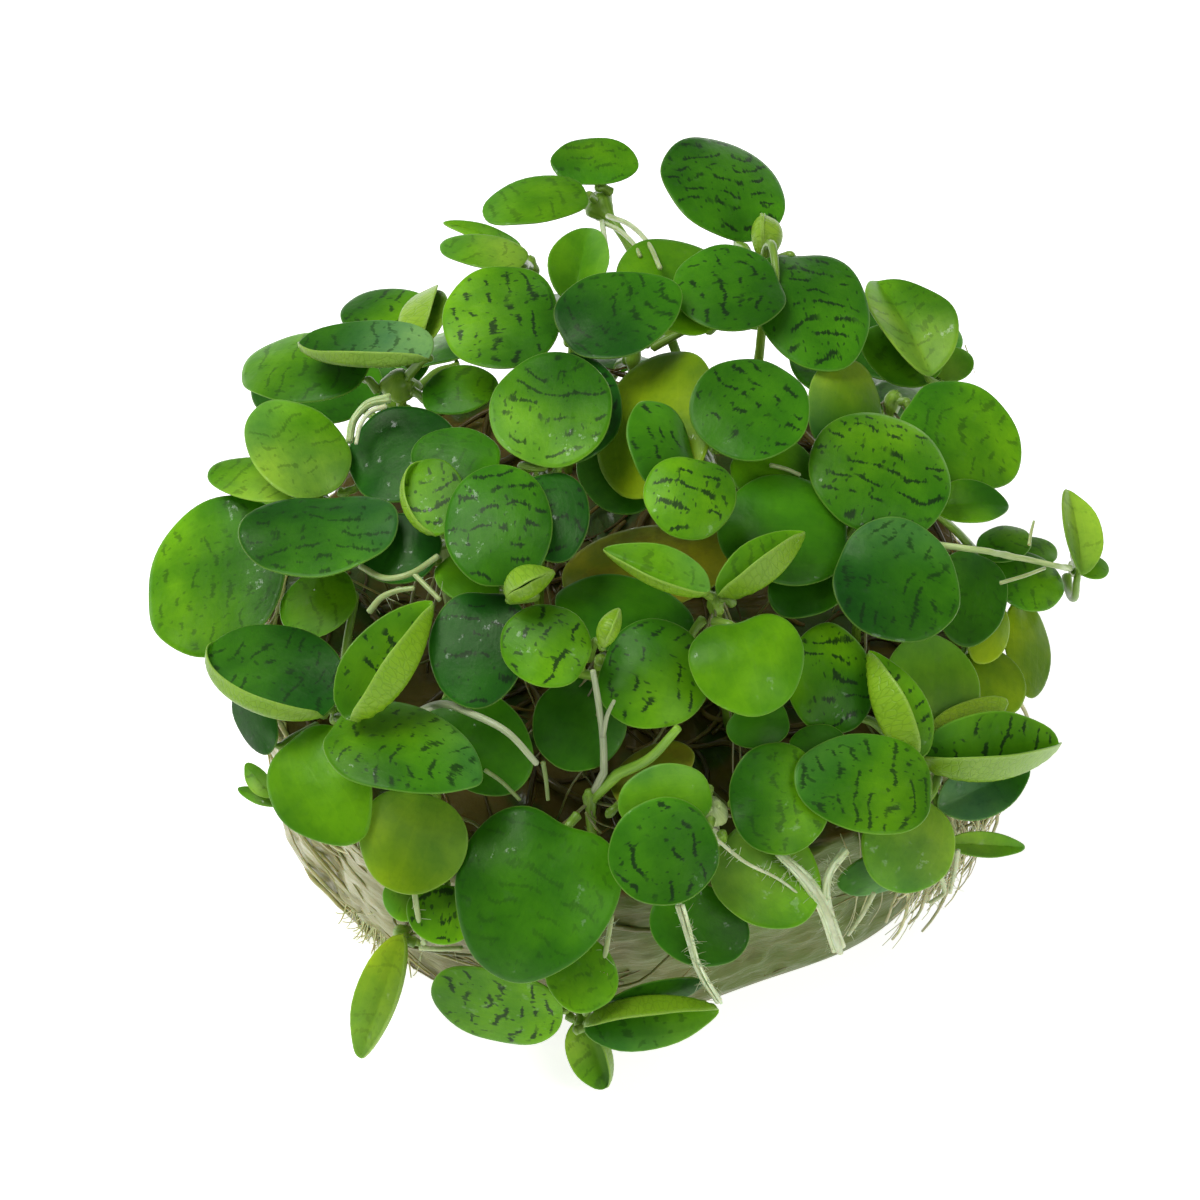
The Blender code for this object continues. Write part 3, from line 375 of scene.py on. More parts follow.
def dome_depth(px):
    """Depth where the sight line meets the dome, or passes closest to it, kept above the ground."""
    ray = sight(px, 1.0) - EYE
    start = (EYE - DOME_MIDDLE) / DOME_RADII
    step = ray / DOME_RADII
    a = step @ step
    b = start @ step
    c = start @ start - 1
    on_dome = (-b - math.sqrt(max(b * b - a * c, 0.0))) / a
    return min(on_dome, (EYE[2] - LOWEST_LEAF) / -ray[2])


def dome_normal(point):
    """The way a leaf at a point likes to face: outwards from the dome and up."""
    outward = unit((point - DOME_MIDDLE) / DOME_RADII**2)
    return unit(outward + np.array([0.0, 0.0, UPWARD_PULL]))


@dataclass
class Blade:
    """A leaf blade: its middle, its unit directions, its real length and width, and its rosette."""

    name: str
    rosette: str
    shape: Shape
    middle: np.ndarray
    along: np.ndarray
    across: np.ndarray
    length: float
    width: float

    @property
    def normal(self):
        """The way that the upper face looks."""
        return np.cross(self.along, self.across)

    @property
    def small(self):
        """Whether the blade has the plainer form of a small leaf."""
        return min(self.length, self.width) < SMALL_LEAF_MM

    def place(self, u, v, height):
        """Points at shares of half the length and half the width, and at a height above the blade's plane."""
        spread = u[..., None] * self.along * self.length / 2 + v[..., None] * self.across * self.width / 2
        return self.middle + spread + height[..., None] * self.normal


def tilted(direction, slope):
    """A direction in the picture turned into depth by a slope, and its true length."""
    turned = direction + slope * VIEW
    size = np.linalg.norm(turned)
    return turned / size, size


def foreshortened(length, width, slopes):
    """Slopes along and across a blade, steeper where its picture is too narrow for a nearly round leaf."""
    sizes = [length * math.hypot(1, slopes[0]), width * math.hypot(1, slopes[1])]
    short = int(np.argmin(sizes))
    seen_size = (length, width)[short]
    wanted = max(sizes) / MOST_ASPECT
    if wanted > sizes[short]:
        steeper = min(math.sqrt((wanted / seen_size) ** 2 - 1), MOST_TILT)
        slopes[short] = math.copysign(max(steeper, abs(slopes[short])), slopes[short])
    return slopes


def blade_from_picture(row, depth):
    """A blade whose picture has the given base, tip and width, tilted as its foreshortening says."""
    name, rosette, base, tip, width_px, kind, _lift = row
    shape = SHAPES[kind]
    base = np.array(base, float)
    tip = np.array(tip, float)
    step = (tip - base) / np.linalg.norm(tip - base)
    along = step[0] * RIGHT - step[1] * UP
    across = step[1] * RIGHT + step[0] * UP
    mm_per_px = depth / (PX_PER_MM * EYE_DISTANCE)
    length = np.linalg.norm(tip - base) * mm_per_px
    width = width_px * mm_per_px
    middle = sight((base + tip) / 2, depth)
    face = dome_normal(middle)
    slopes = [-(face @ way) / (face @ VIEW) for way in (along, across)]
    slopes = [float(np.clip(TILT_SHARE * slope, -EASY_TILT, EASY_TILT)) for slope in slopes]
    if not shape.narrow:
        slopes = foreshortened(length, width, slopes)
    along, longer = tilted(along, slopes[0])
    across, wider = tilted(across, slopes[1])
    across = unit(across - (across @ along) * along)
    if shape.underside:
        across = -across
    return Blade(name, rosette, shape, middle, along, across, length * longer, width * wider)


def blade_from_places(row):
    """A blade on the far side, from its base and tip, facing out and up."""
    name, rosette, base, tip, width, kind = row
    base = np.array(base, float)
    tip = np.array(tip, float)
    along = unit(tip - base)
    middle = (base + tip) / 2
    across = unit(np.cross(dome_normal(middle), along))
    return Blade(name, rosette, SHAPES[kind], middle, along, across, np.linalg.norm(tip - base), width)


def outline_places(shape, notch, turn):
    """Places along and across a blade on its rim, as shares of half its length and half its width.

    The rim is a circle, pushed in at the base by a bell curve, made egg-shaped and drawn to a point.
    """
    from_base = (1 - np.cos(turn)) / 2
    wrapped = (turn + math.pi) % (2 * math.pi) - math.pi
    u = 2 * from_base - 1 + 2 * notch * np.exp(-((wrapped / NOTCH_WIDTH) ** 2))
    v = np.sin(turn) * (1 + shape.egg * np.cos(turn)) * (1 - shape.point * from_base**3)
    return u, v


def blade_points(blade, turn, reach, side):
    """Points of a blade.

    turn runs round the outline, 0 at the base and pi at the tip; reach runs from the middle to the rim; side
    is +1 on the upper face, -1 on the under face and 0 between them. The height is a bowl, a lengthwise bend
    and a V fold added together.
    """
    shape = blade.shape
    u, v = outline_places(shape, shape.notch, turn)
    u = u * reach
    v = v * reach
    height = blade.width * (shape.cup * (reach**2 - 0.5) + shape.fold * (np.abs(v) / 2 - 0.25))
    height = height - shape.bend * blade.length * (u**2 - 0.3)
    thin = SMALL_LEAF_THINNESS if blade.small else 1.0
    height = height + side * thin * BLADE_THICKNESS / 2 * (1 - reach**2)
    return blade.place(u, v, height)


def covered_cells(px):
    """Row and column of the picture cell under each px place."""
    cells = np.clip((px / CELL_PX).astype(int), 0, PICTURE_PX // CELL_PX - 1)
    return cells[..., 1], cells[..., 0]


def footprint(blade, side, cells=True):
    """The cells or px that a blade covers in the picture, and the depth of one of its faces in each."""
    turns = np.linspace(-math.pi, math.pi, FOOTPRINT_TURNS)
    turn, reach = np.meshgrid(turns, np.linspace(0.0, 1.0, FOOTPRINT_REACHES))
    px, depth = seen(blade_points(blade, turn, reach, side))
    return covered_cells(px) if cells else px, depth


def lay_runner(front, cover):
    """The part of the runner that shows, just behind the leaf that covers its inner end."""
    px = np.array(RUNNER_PX, float)
    cover_px, cover_depth = footprint(cover, -1, cells=False)
    near = np.linalg.norm(cover_px - px[-1], axis=-1) < NEAR_PX
    inner = cover_depth[near].max() + LAYER_GAP + RUNNER_RADIUS
    share = np.linspace(0.0, 1.0, len(px))
    outer = dome_depth(px[0]) - OUTLIER_LIFT
    path = curve_through(sight(px, outer + (inner - outer) * share))
    mark_path(front, path, 2.6 * RUNNER_RADIUS)
    return path


def mark_path(front, path, radius):
    """Makes later leaves lie behind a stalk."""
    px, depth = seen(path)
    np.maximum.at(front, covered_cells(px), depth + radius)


def curve_through(points, steps=SPAN_STEPS):
    """A smooth path through points."""
    points = np.asarray(points, float)
    ends = np.vstack([2 * points[0] - points[1], points, 2 * points[-1] - points[-2]])
    path = []
    for i in range(len(points) - 1):
        a, b, c, d = ends[i : i + 4]
        t = (np.arange(steps) / steps)[:, None]
        square = (2 * a - 5 * b + 4 * c - d) * t**2
        cube = (3 * b - a - 3 * c + d) * t**3
        path.append(b + ((c - a) * t + square + cube) / 2)
    return np.vstack([*path, points[-1:]])


def lay_leaves():
    """Every blade, each behind the ones laid before it, with the runner and the bare stalks."""
    front = np.full((PICTURE_PX // CELL_PX, PICTURE_PX // CELL_PX), -np.inf)
    twigs = []
    for rosette, radius, hidden, bends in TWIGS:
        path = curve_through([sight(b[:2], dome_depth(b[:2]) - b[2]) for b in bends])
        mark_path(front, path[hidden * SPAN_STEPS :], radius)
        twigs.append((rosette, radius, path))
    runner = None
    blades = []
    for row in LEAVES:
        middle_px = (np.array(row[2]) + np.array(row[3])) / 2
        depth = dome_depth(middle_px) - row[6]
        for _ in range(PUSHES):
            blade = blade_from_picture(row, depth)
            cells, face_depth = footprint(blade, 1)
            push = float(np.max(front[cells] + LAYER_GAP - face_depth))
            if push <= 0:
                break
            depth += push
        cells, face_depth = footprint(blade, -1)
        np.maximum.at(front, cells, face_depth)
        blades.append(blade)
        if row[0] == RUNNER_BEHIND:
            runner = lay_runner(front, blade)
    blades += [blade_from_places(row) for row in BACK_LEAVES]
    return blades, twigs, runner


def root_radius(turn, height):
    """Radius of the root mass: a tapered cup with a few low lobes."""
    taper = ROOT_FOOT_RADIUS + (ROOT_TOP_RADIUS - ROOT_FOOT_RADIUS) * np.clip(height / ROOT_HEIGHT, 0, 1)
    return taper + sum(size * np.cos(count * turn + start) for count, size, start in ROOT_LOBES)


def root_top(turn, across):
    """Height of the top of the root mass: a low crown that falls off with the square of the radius."""
    return ROOT_HEIGHT + ROOT_CROWNING * (1 - (across / root_radius(turn, ROOT_HEIGHT)) ** 2)


def root_distance(points):
    """About how far points lie outside the root mass."""
    across = np.hypot(points[..., 0], points[..., 1])
    turn = np.arctan2(points[..., 1], points[..., 0])
    return np.maximum(across - root_radius(turn, points[..., 2]), points[..., 2] - root_top(turn, across))


def root_feet():
    """Places on the top and wall of the root mass where a stem can stand, and the way out at each."""
    feet = []
    for radius in np.arange(0.0, ROOT_TOP_RADIUS - FOOT_SPACING, FOOT_SPACING):
        for turn in np.arange(0.0, 2 * math.pi, FOOT_SPACING / max(radius, 1.0)):
            place = (radius * math.cos(turn), radius * math.sin(turn), root_top(turn, radius))
            feet.append((*place, 0.0, 0.0, 1.0))
    for height in FOOT_HEIGHTS:
        for turn in np.linspace(0.0, 2 * math.pi, FEET_ROUND, endpoint=False):
            radius = root_radius(turn, height)
            way = (math.cos(turn), math.sin(turn))
            feet.append((radius * way[0], radius * way[1], height, way[0], way[1], 0.0))
    feet = np.array(feet)
    return feet[:, :3], feet[:, 3:]


def outline_of(blade):
    """Turns of the outline points, and turns and reaches of the ring inside them."""
    outline, ring = (SMALL_OUTLINE_DEG, SMALL_RING) if blade.small else (LARGE_OUTLINE_DEG, LARGE_RING)
    return np.radians(outline), np.radians([r[0] for r in ring]), np.array([r[1] for r in ring])


def blade_faces(blade):
    """Vertices and triangles of a blade, open under its base where its stalk grows."""
    outline, ring_turn, ring_reach = outline_of(blade)
    count = len(ring_turn)
    middle = blade_points(blade, np.zeros(1), np.zeros(1), 1)
    under_middle = blade_points(blade, np.zeros(1), np.zeros(1), -1)
    upper = blade_points(blade, ring_turn, ring_reach, 1)
    under = blade_points(blade, ring_turn, ring_reach, -1)
    rim = blade_points(blade, outline, np.full(len(outline), RIM_REACH), 0)
    vertices = np.vstack([middle, under_middle, upper, under, rim])
    rim_start = 2 + 2 * count
    faces = []
    for i in range(count):
        after = (i + 1) % count
        a, b, c = (rim_start + k % (2 * count) for k in (2 * i, 2 * i + 1, 2 * i + 2))
        for centre, ring, flip in ((0, 2, False), (1, 2 + count, True)):
            fan = [(centre, ring + i, ring + after)]
            fan.append((ring + i, a, b))
            fan.append((ring + i, b, ring + after))
            fan.append((ring + after, b, c))
            if flip and i == 0:
                fan.pop(1)
            if flip and i == count - 1:
                fan.pop(3)
            faces += [face[::-1] if flip else face for face in fan]
    return vertices, faces


class Space:
    """What is laid so far: blades as triangles, and stalks as beads along their paths."""

    def __init__(self, blades):
        points = []
        triangles = []
        self.owner = []
        for blade in blades:
            vertices, faces = blade_faces(blade)
            triangles += [tuple(len(points) + corner for corner in face) for face in faces]
            points += vertices.tolist()
            self.owner += [blade.name] * len(faces)
        self.tree = BVHTree.FromPolygons(points, triangles)
        self.beads = np.empty((0, 4))
        self.crowns = []

    def add(self, path, radius):
        """Lays a stalk or stem."""
        fine = curve_through(path, 3)
        self.beads = np.vstack([self.beads, np.column_stack([fine, np.full(len(fine), radius)])])

    def clashes(self, path, radius, own=None, home=None, outside_root=True):
        """How many points of a path come too close to something, other than its own blade or home crown."""
        count = 0
        for crown in self.crowns:
            if crown is not home:
                apart = np.linalg.norm(path - crown, axis=1)
                count += int(np.sum(apart < CROWN_RADIUS + GAP + radius))
        for point in path:
            for hit in self.tree.find_nearest_range(point.tolist(), radius + CLEARANCE):
                if self.owner[hit[2]] != own:
                    count += 1
                    break
        if len(self.beads):
            apart = np.linalg.norm(path[:, None] - self.beads[None, :, :3], axis=2)
            count += int(np.sum(np.any(apart < radius + GAP + self.beads[:, 3], axis=1)))
        if outside_root:
            count += int(np.sum(root_distance(path) < radius + GAP))
        return count


def bow(start, end, sag):
    """A bowed path from start to end, pulled aside by sag at its middle."""
    t = np.linspace(0.0, 1.0, STALK_STEPS)[:, None]
    control = (start + end) / 2 + sag
    return (1 - t) ** 2 * start + 2 * t * (1 - t) * control + t**2 * end


def sags(start, end):
    """Ways in which a stalk may bow, the straightest first."""
    size = np.linalg.norm(end - start)
    ways = (-UP, VIEW, -VIEW, RIGHT, -RIGHT, UP, RIGHT - UP, -RIGHT - UP, VIEW - UP)
    yield np.zeros(3)
    for share in BOW_SHARES:
        for way in ways:
            yield share * size * unit(way)


def stalk_start(blade):
    """Where a stalk leaves its blade: under the base."""
    return blade_points(blade, np.zeros(1), np.array([STALK_REACH]), -1)[0]


def petiole_path(blade, crown, space):
    """The clearest bowed path from a blade to its crown, and how often it is touched."""
    start = stalk_start(blade)
    toward = unit(start - crown)
    side = unit(np.cross(toward, VIEW))
    other = np.cross(toward, side)
    best = None
    leans = [lean * way for way in (side, other) for lean in STALK_LEANS]
    for lean in leans:
        end = crown + (CROWN_RADIUS + STALK_GAP) * unit(toward + lean)
        for sag in sags(start, end):
            path = bow(start, end, sag)
            count = space.clashes(path[1:OWN_STEPS], PETIOLE_RADIUS, blade.name)
            count += space.clashes(path[OWN_STEPS:], PETIOLE_RADIUS)
            if best is None or count < best[0]:
                best = (count, path)
            if count == 0:
                return best
    return best


def stem_path(crown, space, feet, ways):
    """The clearest path from a crown down to the root mass, the nearest foot first."""
    order = np.argsort(np.linalg.norm(feet - crown, axis=1))[:FEET_TRIED]
    best = None
    for foot in order:
        end = feet[foot] + FOOT_GAP * ways[foot]
        for share in STEM_BOWS:
            path = bow(crown, end, share * np.linalg.norm(end - crown) * ways[foot])
            free = path[np.linalg.norm(path - crown, axis=1) > CROWN_RADIUS + GAP]
            if len(free) < 4:
                continue
            count = space.clashes(free[:-1], STEM_RADIUS, home=crown, outside_root=False)
            count += int(np.sum(root_distance(free[:-2]) < STEM_RADIUS))
            if best is None or count < best[0]:
                best = (count, path)
            if count == 0:
                return path
    return best[1]


def crown_places(rosette, blades):
    """Possible middles of a crown: behind its leaves, where the photo shows it."""
    if rosette in CROWNS_BACK:
        return [np.array(CROWNS_BACK[rosette], float)]
    depths = sorted(float(seen(stalk_start(blade)[None])[1][0]) for blade in blades)
    return [sight(CROWNS_PX[rosette], depths[len(depths) // 2] + extra) for extra in CROWN_DEPTHS]


def lead_rosette(rosette, blades, space):
    """The crown and the leaf stalks of a rosette, where they touch least."""
    best = None
    for crown in crown_places(rosette, blades):
        ball = crown + CROWN_RADIUS * 0.4 * np.array([[0, 0, 0], [0, 0, -1.0]])
        touched = 3 * space.clashes(ball, CROWN_RADIUS)
        paths = {}
        beads = space.beads
        for blade in blades:
            count, path = petiole_path(blade, crown, space)
            touched += count
            paths[blade.name] = path
            space.add(path[2:], PETIOLE_RADIUS)
        space.beads = beads
        if best is None or touched < best[0]:
            best = (touched, crown, paths)
        if touched == 0:
            break
    for path in best[2].values():
        space.add(path[1:], PETIOLE_RADIUS)
    return best[1:]


def grow():
    """Lays the whole clump: blades, twigs, and for each rosette its crown, leaf stalks and stem."""
    blades, twigs, runner = lay_leaves()
    space = Space(blades)
    for _rosette, radius, path in twigs:
        space.add(path[::3], radius)
    space.add(runner[::4], RUNNER_RADIUS)
    rosettes = {}
    for blade in blades:
        rosettes.setdefault(blade.rosette, []).append(blade)
    crowns = {}
    petioles = {}
    for rosette, members in rosettes.items():
        crowns[rosette], paths = lead_rosette(rosette, members, space)
        petioles.update(paths)
    for crown in crowns.values():
        space.crowns.append(crown)
    feet, ways = root_feet()
    stems = {}
    for rosette, crown in crowns.items():
        if rosette == "outlier":
            inner = crowns[RUNNER_PARENT]
            end = inner + (CROWN_RADIUS + GAP + 0.3) * unit(runner[-1] - inner)
            stems[rosette] = np.vstack([crown, runner[:-1:4], runner[-1:], end])
            continue
        stems[rosette] = stem_path(crown, space, feet, ways)
        space.add(stems[rosette], STEM_RADIUS)
    return blades, twigs, crowns, petioles, stems


# The colour of every leaf: tone at its base, tone at its tip, strength of its stripes, names.
LEAF_LOOKS = (
    ("bright", "bright", 0.9, "43 45 24 27 89 95 67"),
    ("bright", "bright", 0.35, "50 51 46 47 57b 59b 04 41 90 02 14"),
    ("bright", "bright", 0.0, "49 83 05 10 78 99 102"),
    ("light", "light", 0.25, "59 36 07"),
    ("light", "bright", 0.35, "37 13 95b 92 04b 38 86 86b"),
    # Leaves 64 and 15 have a lighter tone than their own, as painted light against the shade they lie in.
    ("light", "bright", 0.0, "64 75 80 73 15"),
    # Leaf 88 takes the paler underside colour as painted light against the shade on its hanging blade.
    ("underside_colour", "light", 0.2, "88"),
    ("mid", "bright", 0.9, "11 66 48 68 18"),
    ("mid", "bright", 0.45, "17 40 58 57 01 34 31 71 91 b2 b5 b8 b10"),
    ("bright", "mid", 0.8, "25 70 82 35"),
    ("bright", "mid", 0.1, "56"),
    ("mid", "mid", 0.9, "06 08 28 21 77 12 23"),
    ("mid", "mid", 0.3, "29 76 94 61 72 b1 b3 b6 b7 b9 b11 b12 b4"),
    ("mid", "mid", 0.1, "54 53 81 96 97 100 101 105"),
    ("dark", "mid", 0.7, "42 39 09 55"),
    ("dark", "dark", 0.9, "44 28b 26"),
    ("dark", "dark", 0.2, "30 85 98 104"),
    # Leaves whose base tone is the colour of the painted sheen.
    ("painted_sheen", "mid", 0.6, "33"),
    ("painted_sheen", "mid", 0.2, "69 74"),
    ("light", "yellow", 0.0, "84"),
    ("mid", "yellow", 0.0, "19"),
    ("yellow", "yellow", 0.0, "62 62b 63 65 22"),
    ("olive", "olive", 0.1, "52 103"),
)

# Leaves with a side that rolls over and shows its underside: name, then for each roll its side, the stretch
# of that side, and the start, radius and degrees of its arc. The side is +1 on the left of a leaf seen from
# its base. Lengths are shares of the half width.
ROLLED_LEAVES = {
    "43": ((-1, 1.4, 0.5, 0.14, 138),),
    "27": ((1, 1.1, 0.58, 0.12, 120),),
    "33": ((1, 1.1, 0.55, 0.15, 110),),
    "42": ((1, 1.1, 0.65, 0.12, 116),),
    "50": ((1, 1.1, 0.5, 0.15, 110),),
    "51": ((-1, 1.15, 0.1, 0.14, 128),),
    "67": ((1, 1.5, 0.4, 0.12, 142),),
    "68": ((-1, 1.05, 0.15, 0.12, 118),),
    "88": ((1, 1.0, 0.7, 0.1, 108),),
    "91": ((1, 1.15, 0.35, 0.12, 128),),
    "92": ((1, 1.1, 0.5, 0.12, 110),),
    "36": ((1, 2.3, 0.55, 0.12, 160),),
    "46": ((1, 1.6, 0.15, 0.3, 160), (-1, 1.2, 0.2, 0.36, 125)),
    "47": ((1, 1.6, 0.05, 0.38, 185), (-1, 1.2, 0.05, 0.38, 120)),
    "07": ((-1, 1.5, 0.1, 0.3, 165), (1, 1.1, 0.1, 0.35, 130)),
}

# Thin stems and roots that hang or stand free: radius at the start and end, hairs for each millimetre,
# colour, then px and lift off the dome at each bend.
LOOSE_STRANDS = (
    (0.3, 0.26, 0.0, "pale", ((608, 216, -1.0), (630, 225, 0.5), (648, 243, 1.0), (660, 268, 1.0))),
    (0.26, 0.23, 0.0, "pale", ((606, 224, -1.2), (620, 231, -0.5), (634, 244, 0.0), (640, 256, 0.0))),
    (0.3, 0.28, 0.0, "pale", ((602, 222, -0.8), (606, 250, -1.5), (605, 265, -1.5))),
    (0.26, 0.2, 0.0, "dull", ((543, 762, -6.0), (546, 780, -6.5), (548, 800, -7.0))),
    (0.23, 0.2, 0.0, "dull", ((485, 770, -4.0), (502, 782, -5.0), (520, 800, -6.0))),
    (0.23, 0.2, 0.0, "pale", ((770, 465, -4.0), (786, 469, -4.0), (800, 475, -4.0))),
    (0.4, 0.36, 1.6, "root", ((680, 905, -0.5), (690, 940, -0.5), (700, 972, -0.5), (719, 1002, -0.5))),
    (0.2, 0.13, 1.0, "root", ((715, 838, 0.0), (745, 862, 0.3), (780, 880, 0.3), (812, 905, 0.3))),
    (0.42, 1.0, 3.0, "root", ((778, 853, 0.0), (800, 874, 0.4), (822, 905, 0.6), (838, 948, 0.4))),
    (0.42, 0.5, 3.0, "root", ((846, 850, -0.5), (830, 872, 0.2), (826, 896, 0.4), (835, 935, 0.4))),
    (0.26, 0.2, 1.0, "root", ((874, 893, 0.0), (862, 915, 0.0), (848, 935, 0.0))),
    (0.3, 0.23, 0.5, "root", ((948, 848, -0.5), (940, 868, -0.5), (944, 892, -0.5), (930, 903, -0.5))),
    (0.26, 0.2, 0.5, "root", ((958, 850, -0.5), (955, 870, -0.5), (950, 893, -0.5))),
    (0.33, 0.26, 0.5, "pale", ((413, 880, -0.8), (417, 910, -0.6), (424, 944, -0.8))),
    (0.26, 0.26, 0.5, "pale", ((420, 948, -2.5), (440, 949, -2.5), (462, 948, -2.5))),
    (0.3, 0.26, 1.0, "pale", ((600, 985, -1.5), (606, 950, -2.5), (612, 915, -4.0))),
    (0.2, 0.13, 0.0, "pale", ((1029, 545, 6.0), (1031, 533, 7.0), (1034, 521, 8.0))),
    (0.2, 0.17, 0.0, "pale", ((1000, 583, 4.0), (1024, 576, 7.0), (1045, 568, 9.0))),
    (0.08, 0.04, 0.0, "root", ((965, 345, 1.0), (970, 358, 1.0), (975, 373, 0.0))),
    (0.32, 0.3, 0.0, "pale", ((360, 566, -3.0), (385, 578, -2.5), (412, 573, -2.5), (438, 556, -2.0))),
    (0.34, 0.26, 0.3, "pale", ((369, 612, -3.0), (381, 598, -2.8), (396, 591, -2.8), (414, 588, -3.2))),
    (0.26, 0.26, 0.3, "pale", ((412, 572, -2.6), (424, 584, -2.5), (440, 600, -2.5))),
    (0.5, 0.36, 0.0, "pale", ((390, 398, -2.5), (368, 404, -2.0), (353, 420, -2.0), (349, 442, -2.5))),
    (0.28, 0.2, 0.0, "root", ((386, 406, -2.0), (370, 412, -1.5), (360, 426, -1.5), (356, 444, -2.0))),
)

# The leaves
LEAF_RINGS = 12
ROLLED_RINGS = 30
LEAF_SECTORS = 64
HIDDEN_LEAF_SECTORS = 36
RIM_HALF_THICKNESS = 0.09
RIM_WAVER = (0.012, 0.006)
RIM_WAVES = (0.014, 0.009)
LEAST_NOTCH = 0.03
EXTRA_CUP = 0.1
BASE_DIP = 0.03
CREASE = 0.07
ROLL_THINNESS = 0.5
# Painted light and shade across each leaf: lighter and warmer towards one chosen side, darker towards the
# other.
PAINTED_SHADING = 0.33
PAINTED_SHADING_TINT = np.array([1.25, 1.0, 0.8])
# Painted sheen: a greyish reflection painted into the colour on the lighter side of some leaves, not on
# strongly striped ones.
PAINTED_SHEEN_SHARES = (0.0, 0.35, 0.0, 0.2, 0.0)
MOST_PAINTED_SHEEN_STRIPES = 0.85

# Stalks, crowns and stems
STALK_ROOT_REACH = 0.78
STALK_EDGE_REACH = 0.94
STALK_POINTS = 4
STALK_BULK = 0.42
STEM_BULK = 0.5
RUNNER_BULK = 0.32
USUAL_BULK = 0.9
CROWN_BULK = {
    "back_tall": 1.7,
    "back_left": 2.0,
    "inner_left": 1.9,
    "front_right": 1.5,
    "front": 0.6,
    "outlier": 0.8,
}
PALE_CROWNS = ("outlier", "inner_left", "front_right")
CROWN_SIDES = 22
SHEATHS = 4
SHEATH_SIDES = 8
CROWN_ROOTS = 6
CROWN_ROOT_REACH = 60
# Drawn radius of each bare stalk, and whether it starts free of its crown.
TWIG_LOOKS = ((0.36, False), (0.24, True), (0.52, False), (0.4, False))
GREEN_TWIG_FROM = 0.5

# Roots
BUNDLE_FROM = 0.38
BUNDLE_ROOTS = 9
BUNDLE_SIDES = 8
ROOT_COLUMNS = 420
FLOOR_ROWS = 8
WALL_ROWS = 45
TOP_ROWS = 49
CAKE_LUMPS = 0.5
CAKE_FOLDS = 0.35
CAKE_RIDGES = 0.3
CAKE_EDGE = 1.0
FRONT_RIGHT = (0.46, 0.89)
# Painted shade: the front right of the root mass is darker and warmer, from the first distance to the second
# along FRONT_RIGHT.
SHADED_SIDE_STRETCH = (8.0, 26.0)
TUBE_SIDES = 10
STRAND_POINTS = 14
STRAND_SIDES = 5
HAIR_SIDES = 3
HAIR_RADIUS = 0.04
HAIRS_TRIED = 4
FRINGE_TURN = math.radians(224)
TUFT_TURN = math.radians(-31)

# Noise on a lattice
NOISE_VALUES = 4096
NOISE_KEYS = np.array([73856093, 19349663, 83492791])

# Tints that the settings' colours are multiplied by
LEAF_STALK_TINT = np.array([0.85, 1.0, 0.45])
CROWN_TINT = np.array([0.85, 1.0, 0.4])
PALE_CROWN_TINT = np.array([0.8, 0.9, 0.6])
TWIG_TINT = np.array([0.8, 1.0, 0.4])
CROWN_ROOT_TINT = np.array([0.5, 0.48, 0.25])
LOOSE_TINTS = {
    "pale": np.array([0.75, 0.85, 0.55]),
    "dull": np.array([0.35, 0.45, 0.2]),
    "root": 1.15,
}

# Material numbers of the pieces
STRAND_SLOT = 0
UNDERSIDE_SLOT = 2
STALK_SLOT = 3

# The stage, in metres apart from the sensor
SENSOR_WIDTH = 36.0
SURFACE_HALF = 3.0
LIGHT_AIM = (0, 0, 0.02)
MAIN_LIGHT_PLACE = (-0.26, 0.06, 0.55)
MAIN_LIGHT_SIZE = 0.42
FILL_LIGHT_PLACE = (0.35, -0.4, 0.45)
FILL_LIGHT_SIZE = 0.45


def smooth_step(low, high, value):
    """0 below low, 1 above high, and 3 s^2 - 2 s^3 between them, where s is the share of the way."""
    share = np.clip((value - low) / (high - low), 0, 1)
    return share * share * (3 - 2 * share)


def value_noise(points, scale, seed):
    """Smooth noise from -1 to 1: random values on a cubic lattice, blended by a cubic step each way."""
    table = np.random.default_rng(seed).uniform(-1, 1, NOISE_VALUES)
    place = np.asarray(points) * scale
    cell = np.floor(place).astype(np.int64)
    share = place - cell
    share = share * share * (3 - 2 * share)
    total = 0
    for corner in np.ndindex(2, 2, 2):
        key = (cell + corner) @ NOISE_KEYS
        weight = np.prod(np.where(np.array(corner) == 1, share, 1 - share), axis=-1)
        total = total + table[(key ^ (key >> 7)) % NOISE_VALUES] * weight
    return total


def across_and_up(along):
    """Two unit vectors at right angles to each step of paths, held steady by the axis least along them."""
    fixed = np.eye(3)[np.argmin(np.abs(along.mean(axis=-2, keepdims=True)), axis=-1)]
    side = unit_each(fixed - np.sum(fixed * along, axis=-1, keepdims=True) * along)
    return side, np.cross(along, side)


def with_poles(values):
    """Values of the rows of surfaces in one list, with the first and last repeated for the two poles."""
    flat = values.reshape(len(values), -1, 3)
    return np.concatenate([flat[:, :1], flat, flat[:, -1:]], axis=1)


